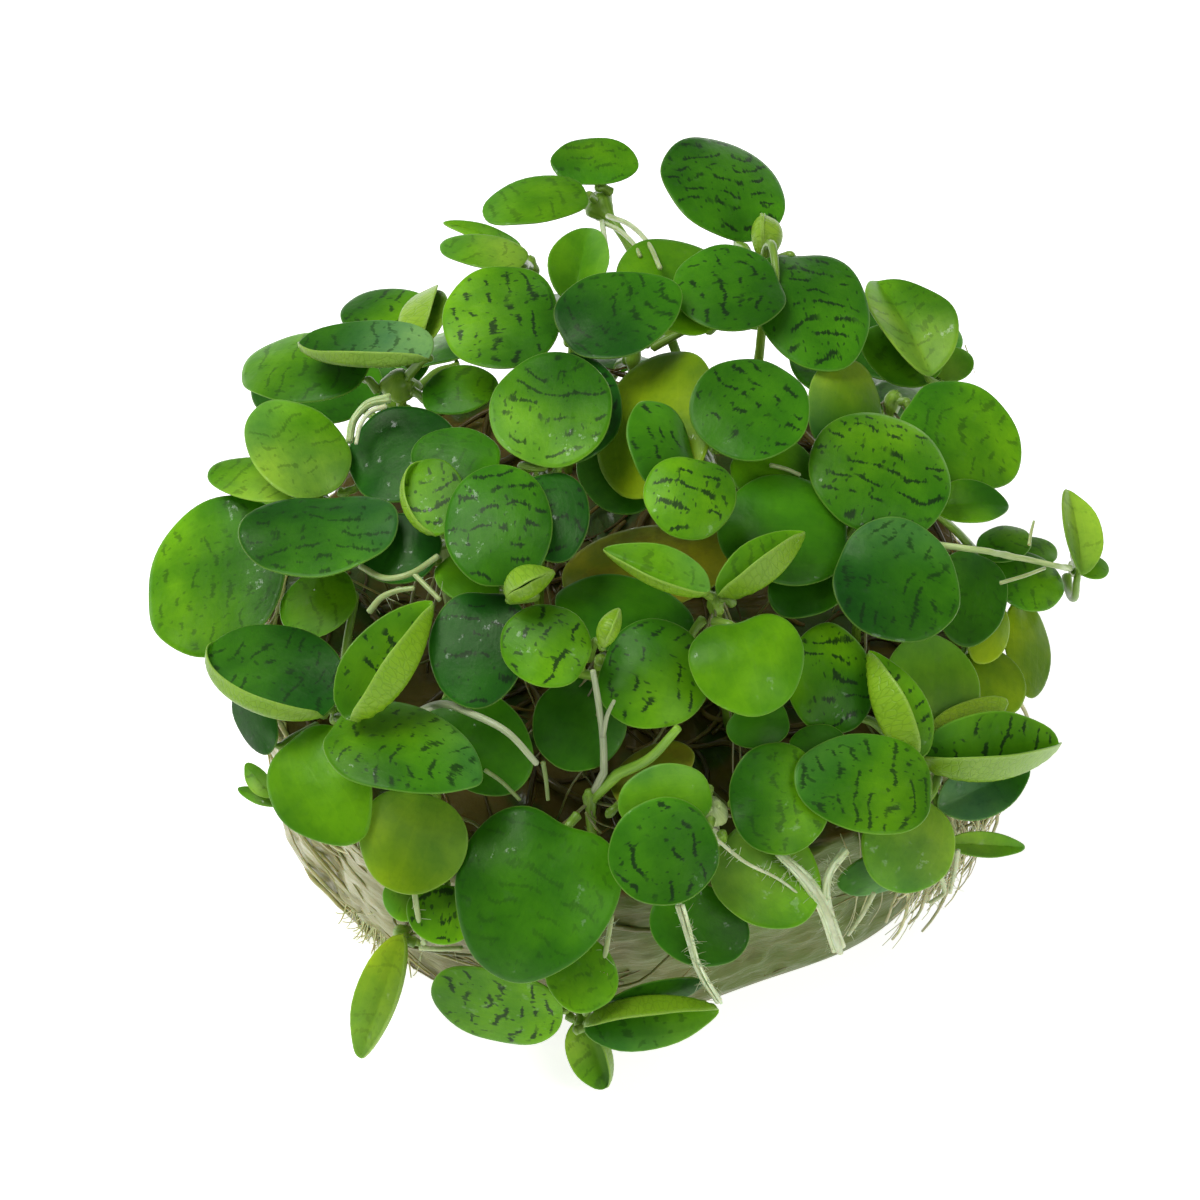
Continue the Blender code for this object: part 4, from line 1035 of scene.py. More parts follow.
class Skin:
    """Gathers closed surfaces for one piece, with the colour and pattern coordinates of each vertex."""

    def __init__(self):
        self.points = []
        self.faces = []
        self.materials = []
        self.tone = []
        self.pattern = []
        self.form = []
        self.count = 0

    def add(self, rows, poles, tone, pattern, form, material):
        """Adds surfaces of rows of points, closed round the columns, with a pole at either end.

        rows is (surfaces, rows, columns, 3); poles is (surfaces, 2, 3). tone, pattern and form are vectors
        for each vertex in the same order, the first pole before the rows and the second after them.
        material is the material number of each band of faces from the first pole to the second.
        """
        number, height, width = rows.shape[:3]
        size = height * width + 2
        points = np.concatenate([poles[:, :1], rows.reshape(number, -1, 3), poles[:, 1:]], axis=1)
        i, j = np.meshgrid(np.arange(height - 1), np.arange(width), indexing="ij")
        here = 1 + i * width + j
        beside = 1 + i * width + (j + 1) % width
        quads = np.stack([here, beside, beside + width, here + width], -1).reshape(-1, 4)
        turn = np.arange(width)
        first = np.stack([np.zeros_like(turn), 1 + (turn + 1) % width, 1 + turn], -1)
        last_row = 1 + (height - 1) * width
        last = np.stack([np.full_like(turn, size - 1), last_row + turn, last_row + (turn + 1) % width], -1)
        triangles = np.concatenate([first, last])
        start = self.count + size * np.arange(number)[:, None, None]
        self.faces += (start + quads).reshape(-1, 4).tolist()
        self.faces += (start + triangles).reshape(-1, 3).tolist()
        bands = np.broadcast_to(material, (height + 1,))
        of_quads = np.repeat(bands[1:-1], width)
        of_triangles = np.concatenate([np.full(width, bands[0]), np.full(width, bands[-1])])
        self.materials += np.tile(of_quads, number).tolist() + np.tile(of_triangles, number).tolist()
        self.points.append(points.reshape(-1, 3))
        for kept, values in ((self.tone, tone), (self.pattern, pattern), (self.form, form)):
            kept.append(np.broadcast_to(values, (number, size, 3)).reshape(-1, 3))
        self.count += number * size

    def piece(self, name, materials, node, slot):
        """The finished piece, facing outwards, riding on the clump and standing for its solid."""
        points = np.concatenate(self.points)
        mesh = bpy.data.meshes.new(name)
        mesh.from_pydata((points * MM).tolist(), [], self.faces)
        for material in materials:
            mesh.materials.append(material)
        mesh.polygons.foreach_set("material_index", self.materials)
        for label, values in (("tone", self.tone), ("pattern", self.pattern), ("form", self.form)):
            layer = mesh.attributes.new(label, "FLOAT_VECTOR", "POINT")
            layer.data.foreach_set("vector", np.concatenate(values).astype(np.float32).ravel())
        mesh.shade_smooth()
        mesh.validate()
        piece = bpy.data.objects.new(name, mesh)
        bpy.context.collection.objects.link(piece)
        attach(piece, "root")
        if node:
            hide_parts(node)
        return piece


def tubes(skin, paths, radii, sides, tone, material, seed):
    """Adds round strands: rings carried along each path, closed at both ends by a short point.

    paths is (strands, points, 3) and radii is (strands, points). The pattern runs round and along the strand.
    """
    along = unit_each(np.gradient(paths, axis=1))
    side, other = across_and_up(along)
    turn = np.arange(sides) * 2 * math.pi / sides
    round_side = np.cos(turn)[:, None] * other[:, :, None] + np.sin(turn)[:, None] * side[:, :, None]
    spread = radii[..., None] if radii.ndim == 2 else radii
    rows = paths[:, :, None] + spread[..., None] * round_side
    ends = 0.5 * spread.mean(axis=2)[:, [0, -1], None] * along[:, [0, -1]]
    ends = paths[:, [0, -1]] + ends * np.array([-1, 1])[:, None]
    steps = np.linalg.norm(np.diff(paths, axis=1), axis=-1)
    run = np.concatenate([np.zeros((len(paths), 1)), np.cumsum(steps, axis=1)], axis=1)
    offset = np.random.default_rng(seed).uniform(0, 100, (len(paths), 1))
    shape = rows.shape[:3]
    distance = np.broadcast_to((run + offset)[:, :, None], shape)
    pattern = with_poles(round_axis(1.0, np.broadcast_to(turn, shape), distance))
    share = run / np.maximum(run[:, -1:], 1e-9)
    form = with_poles(np.broadcast_to(share[:, :, None, None], (*shape, 3)))
    tone = np.asarray(tone, float)
    tone = tone[:, None] if tone.ndim == 2 else tone[None, None]
    skin.add(rows, ends, tone, pattern, form, material)


def half_width_at(shape, u):
    """Half the width of a blade at each place along it, as a share of its greatest."""
    along = np.clip(u, -1, 1)
    return np.sqrt(1 - along**2) * (1 - shape.egg * along) * (1 - shape.point * ((1 + along) / 2) ** 3) + 1e-4


def rolled(share, rolls):
    """Across and upward places of a blade whose sides roll over, for each share of its half width.

    Each side is flat up to its start, follows an arc of the given radius through the given angle and runs on
    straight. The whole is then fitted between the two edges that are seen.
    """
    reach = {1: 1.0, -1: 1.0}
    across = share.copy()
    lift = np.zeros_like(share)
    for side, stretch, start, radius, degrees in rolls:
        full = math.radians(degrees)
        way = np.maximum(side * share, 0) * stretch
        angle = np.clip((way - start) / radius, 0, full)
        rest = np.maximum(way - start - radius * full, 0)
        place = np.minimum(way, start) + radius * np.sin(angle) + rest * math.cos(full)
        across = np.where(side * share > 0, side * place, across)
        lift = lift + radius * (1 - np.cos(angle)) + rest * math.sin(full)
        reach[side] = start + radius * math.sin(min(full, math.pi / 2))
    fit = 2 / (reach[1] + reach[-1])
    return (across + reach[-1]) * fit - 1, lift * fit


def leaf_middle_surface(blade, turn, reach, seed):
    """The middle surface of a blade.

    The rim wavers slightly about its outline. The height is a bowl, a lengthwise bend, a V fold with a soft
    crease, and low waves that grow towards the rim.
    """
    shape = blade.shape
    chance = np.random.default_rng(seed)
    phase = chance.uniform(0, 2 * math.pi, 4)
    waver = 1 + RIM_WAVER[0] * np.sin(3 * turn + phase[0]) + RIM_WAVER[1] * np.sin(7 * turn + phase[1])
    notch = max(shape.notch, 0.0 if shape.narrow else LEAST_NOTCH)
    u, v = outline_places(shape, notch, turn)
    u = u * reach * waver
    v = v * reach * waver
    height = blade.width * (shape.cup * (reach**2 - 0.5) + shape.fold * (np.hypot(v, CREASE) / 2 - 0.25))
    height = height - shape.bend * blade.length * (u**2 - 0.3)
    wave = RIM_WAVES[0] * np.sin(3 * turn + phase[2]) + RIM_WAVES[1] * np.sin(5 * turn + phase[3])
    height = height + blade.width * wave * reach**3
    if shape.cup > 0:
        height = height - blade.width * chance.uniform(0.0, EXTRA_CUP) * (reach**2 - 0.5)
    dip = np.exp(-((u + 0.95) ** 2 + v**2) / 0.12)
    height = height - blade.width * BASE_DIP * dip
    across = v
    if blade.name in ROLLED_LEAVES:
        half_width = half_width_at(shape, u)
        share, lift = rolled(np.clip(v / half_width, -1.05, 1.05), ROLLED_LEAVES[blade.name])
        across = share * half_width
        height = height + lift * half_width * blade.width / 2
    return blade.place(u, across, height), u, v


def leaf_surface(skin, blade, looks, sectors, seed):
    """Adds a blade: its middle surface on a polar grid, moved out to both faces and closed at the rim.

    Half the thickness falls off from the middle with the square of the reach. The colour runs from the tone
    of the base to that of the tip, with painted light and shade that grow lighter in one chosen direction, and
    on some leaves a painted greyish sheen towards the lighter side.
    """
    rings = ROLLED_RINGS if blade.name in ROLLED_LEAVES else LEAF_RINGS
    rows = np.linspace(1 / rings, 1, rings) ** 0.8
    turn, reach = np.meshgrid(np.arange(sectors) * 2 * math.pi / sectors, rows)
    middle, u, v = leaf_middle_surface(blade, turn, reach, seed)
    centre, _u, _v = leaf_middle_surface(blade, np.zeros(1), np.zeros(1), seed)
    centre = centre[0]
    outward = np.gradient(np.concatenate([np.broadcast_to(centre, (1, sectors, 3)), middle]), axis=0)[1:]
    around = (np.roll(middle, -1, axis=1) - np.roll(middle, 1, axis=1)) / 2
    normal = unit_each(np.cross(outward, around))
    top = normal[0].mean(axis=0)
    facing = np.sign(top @ blade.normal)
    normal = normal * facing
    top = unit(top * facing)
    thin = SMALL_LEAF_THINNESS if blade.small else 1.0
    if blade.name in ROLLED_LEAVES:
        thin = thin * ROLL_THINNESS
    centre_half = thin * BLADE_THICKNESS / 2
    half = RIM_HALF_THICKNESS + (centre_half - RIM_HALF_THICKNESS) * (1 - reach**2)
    half = half[..., None]
    rim = middle[-1] + 0.8 * RIM_HALF_THICKNESS * unit_each(outward[-1])
    upper = middle + half * normal
    under = middle - half * normal
    points = np.concatenate([upper, rim[None], under[::-1]])
    poles = np.stack([centre + centre_half * top, centre - centre_half * top])
    base, tip, stripes, wear, painted_sheen_tone = looks
    shift = np.random.default_rng(seed + 7).uniform(-400, 400, 3)
    share = smooth_step(0.15, 0.85, (u + 1) / 2 + 0.25 * v * math.cos(seed))[..., None]
    colour = base + (tip - base) * share
    # Painted light and shade: each leaf is lighter towards one chosen side and darker towards the other.
    facing_light = np.random.default_rng(seed + 9).normal(0, 1, 2)
    painted_light_slant = (u * facing_light[0] + v * facing_light[1]) / np.hypot(*facing_light)
    colour = colour * (1 + PAINTED_SHADING * painted_light_slant[..., None] * PAINTED_SHADING_TINT)
    # Painted sheen: a greyish reflection on the lighter side of some leaves.
    painted_sheen = PAINTED_SHEEN_SHARES[seed % len(PAINTED_SHEEN_SHARES)] * (stripes < MOST_PAINTED_SHEEN_STRIPES)
    colour = colour + (painted_sheen_tone - colour) * painted_sheen * smooth_step(0.1, 1.0, painted_light_slant)[..., None]
    place = np.stack([u * blade.length / 2, v * blade.width / 2, np.zeros_like(u)], -1) + shift
    vein = v / np.sqrt(np.maximum(1.02 - u**2, 0.02))
    form = np.stack([vein, reach, np.full_like(u, stripes)], -1)
    centre_values = ((base + tip) / 2, shift, np.array([0.0, 0.0, stripes]))
    values = []
    for field, at_centre in zip((colour, place, form), centre_values):
        both = np.concatenate([field, field[-1:], field[::-1]]).reshape(-1, 3)
        values.append(np.concatenate([at_centre[None], both, at_centre[None]])[None])
    bands = [wear] * (rings + 1) + [UNDERSIDE_SLOT] * (rings + 1)
    skin.add(points[None], poles[None], *values, bands)


def stalk_tube(skin, path, radii, tone, material, seed):
    """Adds one round stalk along a path."""
    tubes(skin, path[None], radii[None], TUBE_SIDES, tone[None], material, seed)


def petiole(skin, blade, path, tone, seed):
    """Adds a leaf stalk: a slightly tapered tube from inside the thick base of the blade to the crown.

    Its first points lie below the drawn surface, and the next ones are lowered less and less.
    """
    top = leaf_middle_surface(blade, np.zeros(2), np.array([STALK_ROOT_REACH, STALK_EDGE_REACH]), seed)[0]
    top = top - np.array([[0.4], [1.5]]) * STALK_BULK * blade.normal
    line = np.vstack([top, path[1:]])
    shift = min((top[1] - path[0]) @ blade.normal, 0.0)
    line[2:5] += np.array([[0.8], [0.45], [0.15]])[: len(line[2:5])] * shift * blade.normal
    fine = curve_through(line, STALK_POINTS)
    radii = np.linspace(0.85, 1.25, len(fine)) * STALK_BULK
    radii[: STALK_POINTS + 1] *= np.linspace(0.3, 0.8, STALK_POINTS + 1)
    stalk_tube(skin, fine, radii, tone, STALK_SLOT, seed)


def crown_piece(skin, rosette, crown, path, tones, seed):
    """Adds the knobbly crown of a rosette and the stem below it as one tube of changing radius.

    The radius is that of the stem, with a swelling round the crown that falls off as a bell curve and is
    roughened with noise. Short pointed sheaths stand round the crown.
    """
    chance = np.random.default_rng(seed)
    bulk = CROWN_BULK.get(rosette, USUAL_BULK)
    outlier = rosette == "outlier"
    way = unit(path[1] - crown) if outlier else unit(path[2] - path[0])
    knob = crown + np.array(KNOB_STEPS)[:, None] * way
    if outlier:
        line = curve_through(np.vstack([knob, path[1:]]), 5)
    else:
        later = path[np.linalg.norm(path - crown, axis=1) > KNOB_STEPS[-1] + STEM_RADIUS]
        foot = later[-1] + 1.2 * unit(later[-1] - path[-3])
        line = curve_through(np.vstack([knob, later[::2], foot]), 5)
    run = np.linalg.norm(line - line[0], axis=1)
    swell = np.exp(-(((run + KNOB_STEPS[0]) / 1.3) ** 2))
    thin = RUNNER_BULK if outlier else STEM_BULK
    radii = thin + (bulk - thin) * swell
    radii[0] = 0.4 * bulk
    turn = np.arange(CROWN_SIDES) * 2 * math.pi / CROWN_SIDES
    around = round_axis(1.3, turn, 0 * turn)
    rough = value_noise(around + np.array([0, 0, 1]) * run[:, None, None], 1.1, seed)
    radii = radii[:, None] + (0.08 + 0.3 * bulk * swell[:, None]) * rough * np.minimum(run, 1)[:, None]
    tubes(skin, line[None], radii[None], CROWN_SIDES, tones, STALK_SLOT, seed)
    t = np.linspace(0, 1, 7)[None, :, None]
    heading = unit_each(chance.normal(0, 1, (SHEATHS, 1, 3)) - 0.6 * way)
    size = chance.uniform(0.9, 1.3, (SHEATHS, 1, 1)) * bulk
    paths = crown - 0.3 * heading + heading * size * t - 0.9 * way * t**2
    thick = 0.45 * bulk * (1 - t[..., 0]) ** 0.6 * chance.uniform(0.6, 1.1, (SHEATHS, 1)) + 0.03
    shade = chance.uniform(0.8, 1.3, (SHEATHS, 1))
    tubes(skin, paths, thick, SHEATH_SIDES, tones * shade, STALK_SLOT, seed + 3)


def crown_roots(skin, crown, feet, tones, chance):
    """Adds fine roots from a crown down to the root mass: bowed lines with a random sway."""
    near = np.argsort(np.linalg.norm(feet - crown, axis=1))[:CROWN_ROOT_REACH]
    ends = feet[chance.choice(near, CROWN_ROOTS)]
    t = np.linspace(0, 1, STRAND_POINTS)[None, :, None]
    point = (CROWN_ROOTS, 1, 3)
    start = crown + chance.normal(0, 0.5, point)
    sag = chance.normal(0, 1, point) * 1.6 + np.array([0, 0, -0.8])
    paths = start + (ends[:, None] - start) * t + sag * 4 * t * (1 - t)
    sway = chance.normal(0, 0.35, point)
    paths = paths + sway * np.sin(t * chance.uniform(6, 14, (CROWN_ROOTS, 1, 1)))
    radii = chance.uniform(0.09, 0.22, (CROWN_ROOTS, 1)) * (1 - 0.4 * t[..., 0])
    shade = chance.uniform(0.5, 0.95, (CROWN_ROOTS, 1))
    tubes(skin, paths, radii, STRAND_SIDES, tones * shade, STRAND_SLOT, int(chance.integers(1e6)))


def root_cake(skin, tone):
    """Adds the root mass: a closed cup whose wall and top wander in and out with ridged noise.

    The rows run from the middle of the flat underside, up the wall and over the rounded edge, to the middle
    of the top. The ridges are one minus twice the size of a noise that is stretched round the cup.
    """
    turn = np.arange(ROOT_COLUMNS) * 2 * math.pi / ROOT_COLUMNS
    floor_share = np.linspace(0.1, 1.0, FLOOR_ROWS)
    wall = np.linspace(0.0, 1.0, WALL_ROWS + 1)[1:]
    top_share = np.linspace(1.0, 0.03, TOP_ROWS + 1)[1:]
    share = np.concatenate([floor_share, np.ones(WALL_ROWS), top_share])[:, None]
    height = np.concatenate([np.zeros(FLOOR_ROWS), wall * ROOT_HEIGHT, np.full(TOP_ROWS, ROOT_HEIGHT)])
    height = height[:, None]
    crowning = np.where(height >= ROOT_HEIGHT, ROOT_CROWNING * (1 - share**2), 0.0)
    radius = root_radius(turn[None], height) * share
    raised = height + crowning
    points = round_axis(radius, turn, raised * np.ones_like(turn))
    edge = smooth_step(0.86, 1.0, share) * smooth_step(ROOT_HEIGHT - 2.5, ROOT_HEIGHT + 0.5, raised)
    flat = np.ones_like(radius)
    stretched = np.stack([turn[None] * 9 * flat, (height * 0.9 + share * 9) * flat, radius * 0.05], -1)
    ridges = 1 - 2 * np.abs(value_noise(stretched, 1.3, 5))
    lumps = value_noise(points, 0.16, 11)
    folds = value_noise(points, 0.45, 12)
    out = CAKE_LUMPS * lumps + CAKE_FOLDS * folds + CAKE_RIDGES * ridges - CAKE_EDGE * edge
    side = smooth_step(0.0, 1.5, raised)
    radial = round_axis(1.0, turn, 0 * turn)[None]
    points = points + radial * (out * side * smooth_step(0.2, 0.9, share))[..., None]
    points[..., 2] += out * smooth_step(ROOT_HEIGHT - 4, ROOT_HEIGHT, height) * 0.8
    points[..., 2] = np.maximum(points[..., 2], 0)
    poles = np.array([[0, 0, 0], [0, 0, points[-1, :, 2].mean()]])
    form = with_poles(np.stack([out, height * flat, share * flat], -1)[None])
    pattern = np.concatenate([poles[:1], points.reshape(-1, 3), poles[1:]])[None]
    skin.add(points[None], poles[None], np.asarray(tone, float), pattern, form, STRAND_SLOT)


def wall_strands(skin, count, tones, chance):
    """Adds matted roots on the wall: long lines that wander round it, fewer and darker with painted shade at
    the front right.
    """
    t = np.linspace(0, 1, STRAND_POINTS)[None]
    each = (count, 1)
    length = chance.uniform(7, 26, each)
    turn = chance.uniform(0, 2 * math.pi, each) + chance.choice([-1, 1], each) * length * t / 34
    slope = chance.normal(-0.1, 0.35, each)
    sway = chance.uniform(0.2, 1.3, each) * np.sin(t * chance.uniform(4, 13, each) + turn[:, :1] * 9)
    height = chance.uniform(0.4, ROOT_HEIGHT + 0.5, each) + slope * length * (t - 0.5) + sway
    height = np.clip(height, 0.3, ROOT_HEIGHT - 0.2)
    radius = root_radius(turn, height) - CAKE_EDGE * smooth_step(ROOT_HEIGHT - 2.5, ROOT_HEIGHT, height)
    radius = radius - 0.1 + 0.35 * np.sin(t * chance.uniform(3, 9, each) + 40 * slope)
    paths = round_axis(radius, turn, height)
    radii = chance.uniform(0.08, 0.34, each) * (1 - 0.6 * np.abs(2 * t - 1))
    middle = paths[:, STRAND_POINTS // 2]
    front_right = FRONT_RIGHT[0] * middle[:, 0] - FRONT_RIGHT[1] * middle[:, 1]
    # Painted shade: strands at the front right are darker, and fewer of them are kept.
    shaded_side = smooth_step(*SHADED_SIDE_STRETCH, front_right)[:, None]
    shade = chance.uniform(0.95, 1.6, each) * (1 - 0.55 * shaded_side)
    kept = chance.uniform(0, 1, count) > 0.85 * shaded_side[:, 0]
    tubes(skin, paths[kept], radii[kept], STRAND_SIDES, (tones * shade)[kept], STRAND_SLOT, 21)


def top_strands(skin, count, tones, chance):
    """Adds matted roots on the top of the mass: lines that curve across it in every direction."""
    t = np.linspace(0, 1, STRAND_POINTS)[None]
    each = (count, 1)
    length = chance.uniform(6, 20, each)
    reach = (ROOT_TOP_RADIUS - 2) * np.sqrt(chance.uniform(0, 1, each))
    where = chance.uniform(0, 2 * math.pi, each)
    heading = chance.uniform(0, 2 * math.pi, each) + chance.normal(0, 1.3, each) * t
    x = reach * np.cos(where) + length * (t - 0.5) * np.cos(heading)
    y = reach * np.sin(where) + length * (t - 0.5) * np.sin(heading)
    out = np.hypot(x, y)
    fit = np.minimum(1, (ROOT_TOP_RADIUS - 1.5) / np.maximum(out, 1e-6))
    x = x * fit
    y = y * fit
    height = ROOT_HEIGHT + ROOT_CROWNING * (1 - (np.hypot(x, y) / ROOT_TOP_RADIUS) ** 2)
    height = height + 0.3 + chance.uniform(0, 1.6, each) * np.sin(math.pi * t) ** 2
    paths = np.stack([x, y, height], -1)
    radii = chance.uniform(0.12, 0.5, each) * (1 - 0.4 * np.abs(2 * t - 1))
    tubes(skin, paths, radii, STRAND_SIDES, tones * chance.uniform(0.3, 1.2, each), STRAND_SLOT, 22)


def foot_fringe(skin, count, tones, chance):
    """Adds the fringe of fine roots that spreads from the foot of the mass onto the surface."""
    t = np.linspace(0, 1, STRAND_POINTS)[None]
    each = (count, 1)
    turn = FRINGE_TURN + 0.07 * chance.normal(0, 1, each) + 0.03 * t * chance.normal(0, 1, each)
    height = 2.5 * (1 - t) ** 2 + 0.15 + 0 * turn
    radius = root_radius(turn, height) - 0.3 + t * chance.uniform(0.5, 2.0, each)
    paths = round_axis(radius, turn, height)
    radii = chance.uniform(0.06, 0.13, each) * (1 - 0.5 * t)
    tubes(skin, paths, radii, STRAND_SIDES, tones * chance.uniform(1.4, 1.7, each), STRAND_SLOT, 23)


def side_tuft(skin, count, tones, chance):
    """Adds the tuft of roots that hangs out of the top edge at the right: lines that fan out and down."""
    t = np.linspace(0, 1, STRAND_POINTS)[None]
    each = (count, 1)
    turn = TUFT_TURN + 0.13 * chance.normal(0, 1, each) - 0.12 * t * chance.uniform(-0.3, 1.0, each)
    height = ROOT_HEIGHT - 0.5 - chance.uniform(6, ROOT_HEIGHT - 2, each) * t**1.2
    radius = root_radius(turn, height) - 0.6 + np.sin(2.2 * t) * chance.uniform(0.8, 6.4, each)
    radius = radius + chance.uniform(0.0, 0.35, each) * np.sin(t * chance.uniform(5, 16, each))
    paths = round_axis(radius, turn, height)
    radii = chance.choice([0.08, 0.14, 0.3], each) * (1 - 0.5 * t)
    tubes(skin, paths, radii, STRAND_SIDES, tones * chance.uniform(0.8, 1.3, each), STRAND_SLOT, 24)


def bundle(skin, path, radii, tones, chance, seed):
    """Adds a thick root as a bundle of fine ones that twist about its path and spread where it widens."""
    share = np.linspace(0, 1, len(path))[None]
    each = (BUNDLE_ROOTS, 1)
    turn = chance.uniform(0, 2 * math.pi, each) + share * chance.normal(0, 1.6, each)
    out = chance.uniform(0.25, 0.85, each) * radii
    side, other = across_and_up(unit_each(np.gradient(path, axis=0)[None]))
    paths = path + out[..., None] * (np.cos(turn)[..., None] * side + np.sin(turn)[..., None] * other)
    thick = np.minimum(radii * 0.5, 0.3) * chance.uniform(0.6, 1.1, each)
    tubes(skin, paths, thick, BUNDLE_SIDES, tones * chance.uniform(0.8, 1.15, each), STRAND_SLOT, seed)


def hairs_of(skin, path, radius, density, tones, chance):
    """Adds fine hairs that stand off a strand: short lines at right angles to it, bent to one side."""
    size = np.linalg.norm(np.diff(path, axis=0), axis=1).sum()
    count = int(size * density * HAIRS_TRIED)
    if count < 1:
        return
    spot = chance.uniform(0.05, 0.98, count) * (len(path) - 1)
    low = np.floor(spot).astype(int)
    start = path[low] + (spot - low)[:, None] * (path[np.minimum(low + 1, len(path) - 1)] - path[low])
    along = unit_each(np.gradient(path, axis=0)[low])
    way = unit_each(np.cross(along, chance.normal(0, 1, (count, 3))))
    reach = chance.uniform(0.3, 1.0, (count, 1, 1))
    t = np.linspace(0, 1, 4)[None, :, None]
    bend = chance.normal(0, 0.35, (count, 1, 3))
    paths = start[:, None] + way[:, None] * (radius * 0.6 + reach * t) + bend * t**2
    radii = HAIR_RADIUS * (1 - 0.6 * t[..., 0]) * np.ones((count, 1))
    tubes(skin, paths, radii, HAIR_SIDES, tones * 1.15, STRAND_SLOT, int(chance.integers(1e6)))


# Materials


class Paint:
    """A procedural material, built from named steps on one Principled shader."""

    def __init__(self, name):
        self.material = bpy.data.materials.new(name)
        self.material.use_nodes = True
        self.tree = self.material.node_tree
        self.shader = self.tree.nodes["Principled BSDF"]

    def put(self, value, socket):
        """Links a socket, or sets a plain value."""
        if isinstance(value, bpy.types.NodeSocket):
            self.tree.links.new(value, socket)
        elif socket.type == "RGBA":
            socket.default_value = (*value, 1.0)
        else:
            socket.default_value = value

    def surface(self, **inputs):
        """Sets sockets of the shader, named by their labels in small letters."""
        for name, value in inputs.items():
            self.put(value, self.shader.inputs[name.replace("_", " ").title().replace("Ior", "IOR")])

    def attribute(self, name):
        """The vector that a mesh keeps at each vertex under a name."""
        node = self.tree.nodes.new("ShaderNodeAttribute")
        node.attribute_name = name
        return node.outputs["Vector"]

    def math(self, operation, first, second=0.0):
        """One operation on one or two numbers."""
        node = self.tree.nodes.new("ShaderNodeMath")
        node.operation = operation
        self.put(first, node.inputs[0])
        self.put(second, node.inputs[1])
        return node.outputs[0]

    def times(self, first, second):
        """The product of two numbers."""
        return self.math("MULTIPLY", first, second)

    def plus(self, first, second):
        """The sum of two numbers."""
        return self.math("ADD", first, second)

    def minus(self, first, second):
        """The first number less the second."""
        return self.math("SUBTRACT", first, second)

    def stretched(self, vector, by):
        """A vector or colour with each part multiplied."""
        node = self.tree.nodes.new("ShaderNodeVectorMath")
        node.operation = "MULTIPLY"
        self.put(vector, node.inputs[0])
        self.put(by, node.inputs[1])
        return node.outputs[0]

    def parts(self, vector):
        """The three parts of a vector."""
        node = self.tree.nodes.new("ShaderNodeSeparateXYZ")
        self.put(vector, node.inputs[0])
        return node.outputs

    def whole(self, *parts):
        """A vector of three parts."""
        node = self.tree.nodes.new("ShaderNodeCombineXYZ")
        for part, socket in zip(parts, node.inputs):
            self.put(part, socket)
        return node.outputs[0]

    def noise(self, vector, scale, detail=2.0, roughness=0.5):
        """Smooth noise from 0 to 1."""
        node = self.tree.nodes.new("ShaderNodeTexNoise")
        self.put(vector, node.inputs["Vector"])
        self.put(scale, node.inputs["Scale"])
        self.put(detail, node.inputs["Detail"])
        self.put(roughness, node.inputs["Roughness"])
        return node.outputs[0]

    def cells(self, vector, scale):
        """Distance to the walls of a network of cells."""
        node = self.tree.nodes.new("ShaderNodeTexVoronoi")
        node.feature = "DISTANCE_TO_EDGE"
        self.put(vector, node.inputs["Vector"])
        self.put(scale, node.inputs["Scale"])
        return node.outputs["Distance"]

    def step(self, value, low, high):
        """A smooth step from 0 at low to 1 at high."""
        node = self.tree.nodes.new("ShaderNodeMapRange")
        node.interpolation_type = "SMOOTHSTEP"
        for entry, socket in zip((value, low, high, 0.0, 1.0), node.inputs):
            self.put(entry, socket)
        return node.outputs[0]

    def mix(self, share, first, second):
        """The first colour, with a share of the second."""
        node = self.tree.nodes.new("ShaderNodeMix")
        node.data_type = "RGBA"
        self.put(share, node.inputs[0])
        self.put(first, node.inputs[6])
        self.put(second, node.inputs[7])
        return node.outputs[2]

    def bump(self, height, distance, strength):
        """Raises the surface by a height from 0 to 1 times a distance in millimetres."""
        node = self.tree.nodes.new("ShaderNodeBump")
        self.put(strength, node.inputs["Strength"])
        self.put(distance * MM, node.inputs["Distance"])
        self.put(height, node.inputs["Height"])
        self.put(node.outputs[0], self.shader.inputs["Normal"])


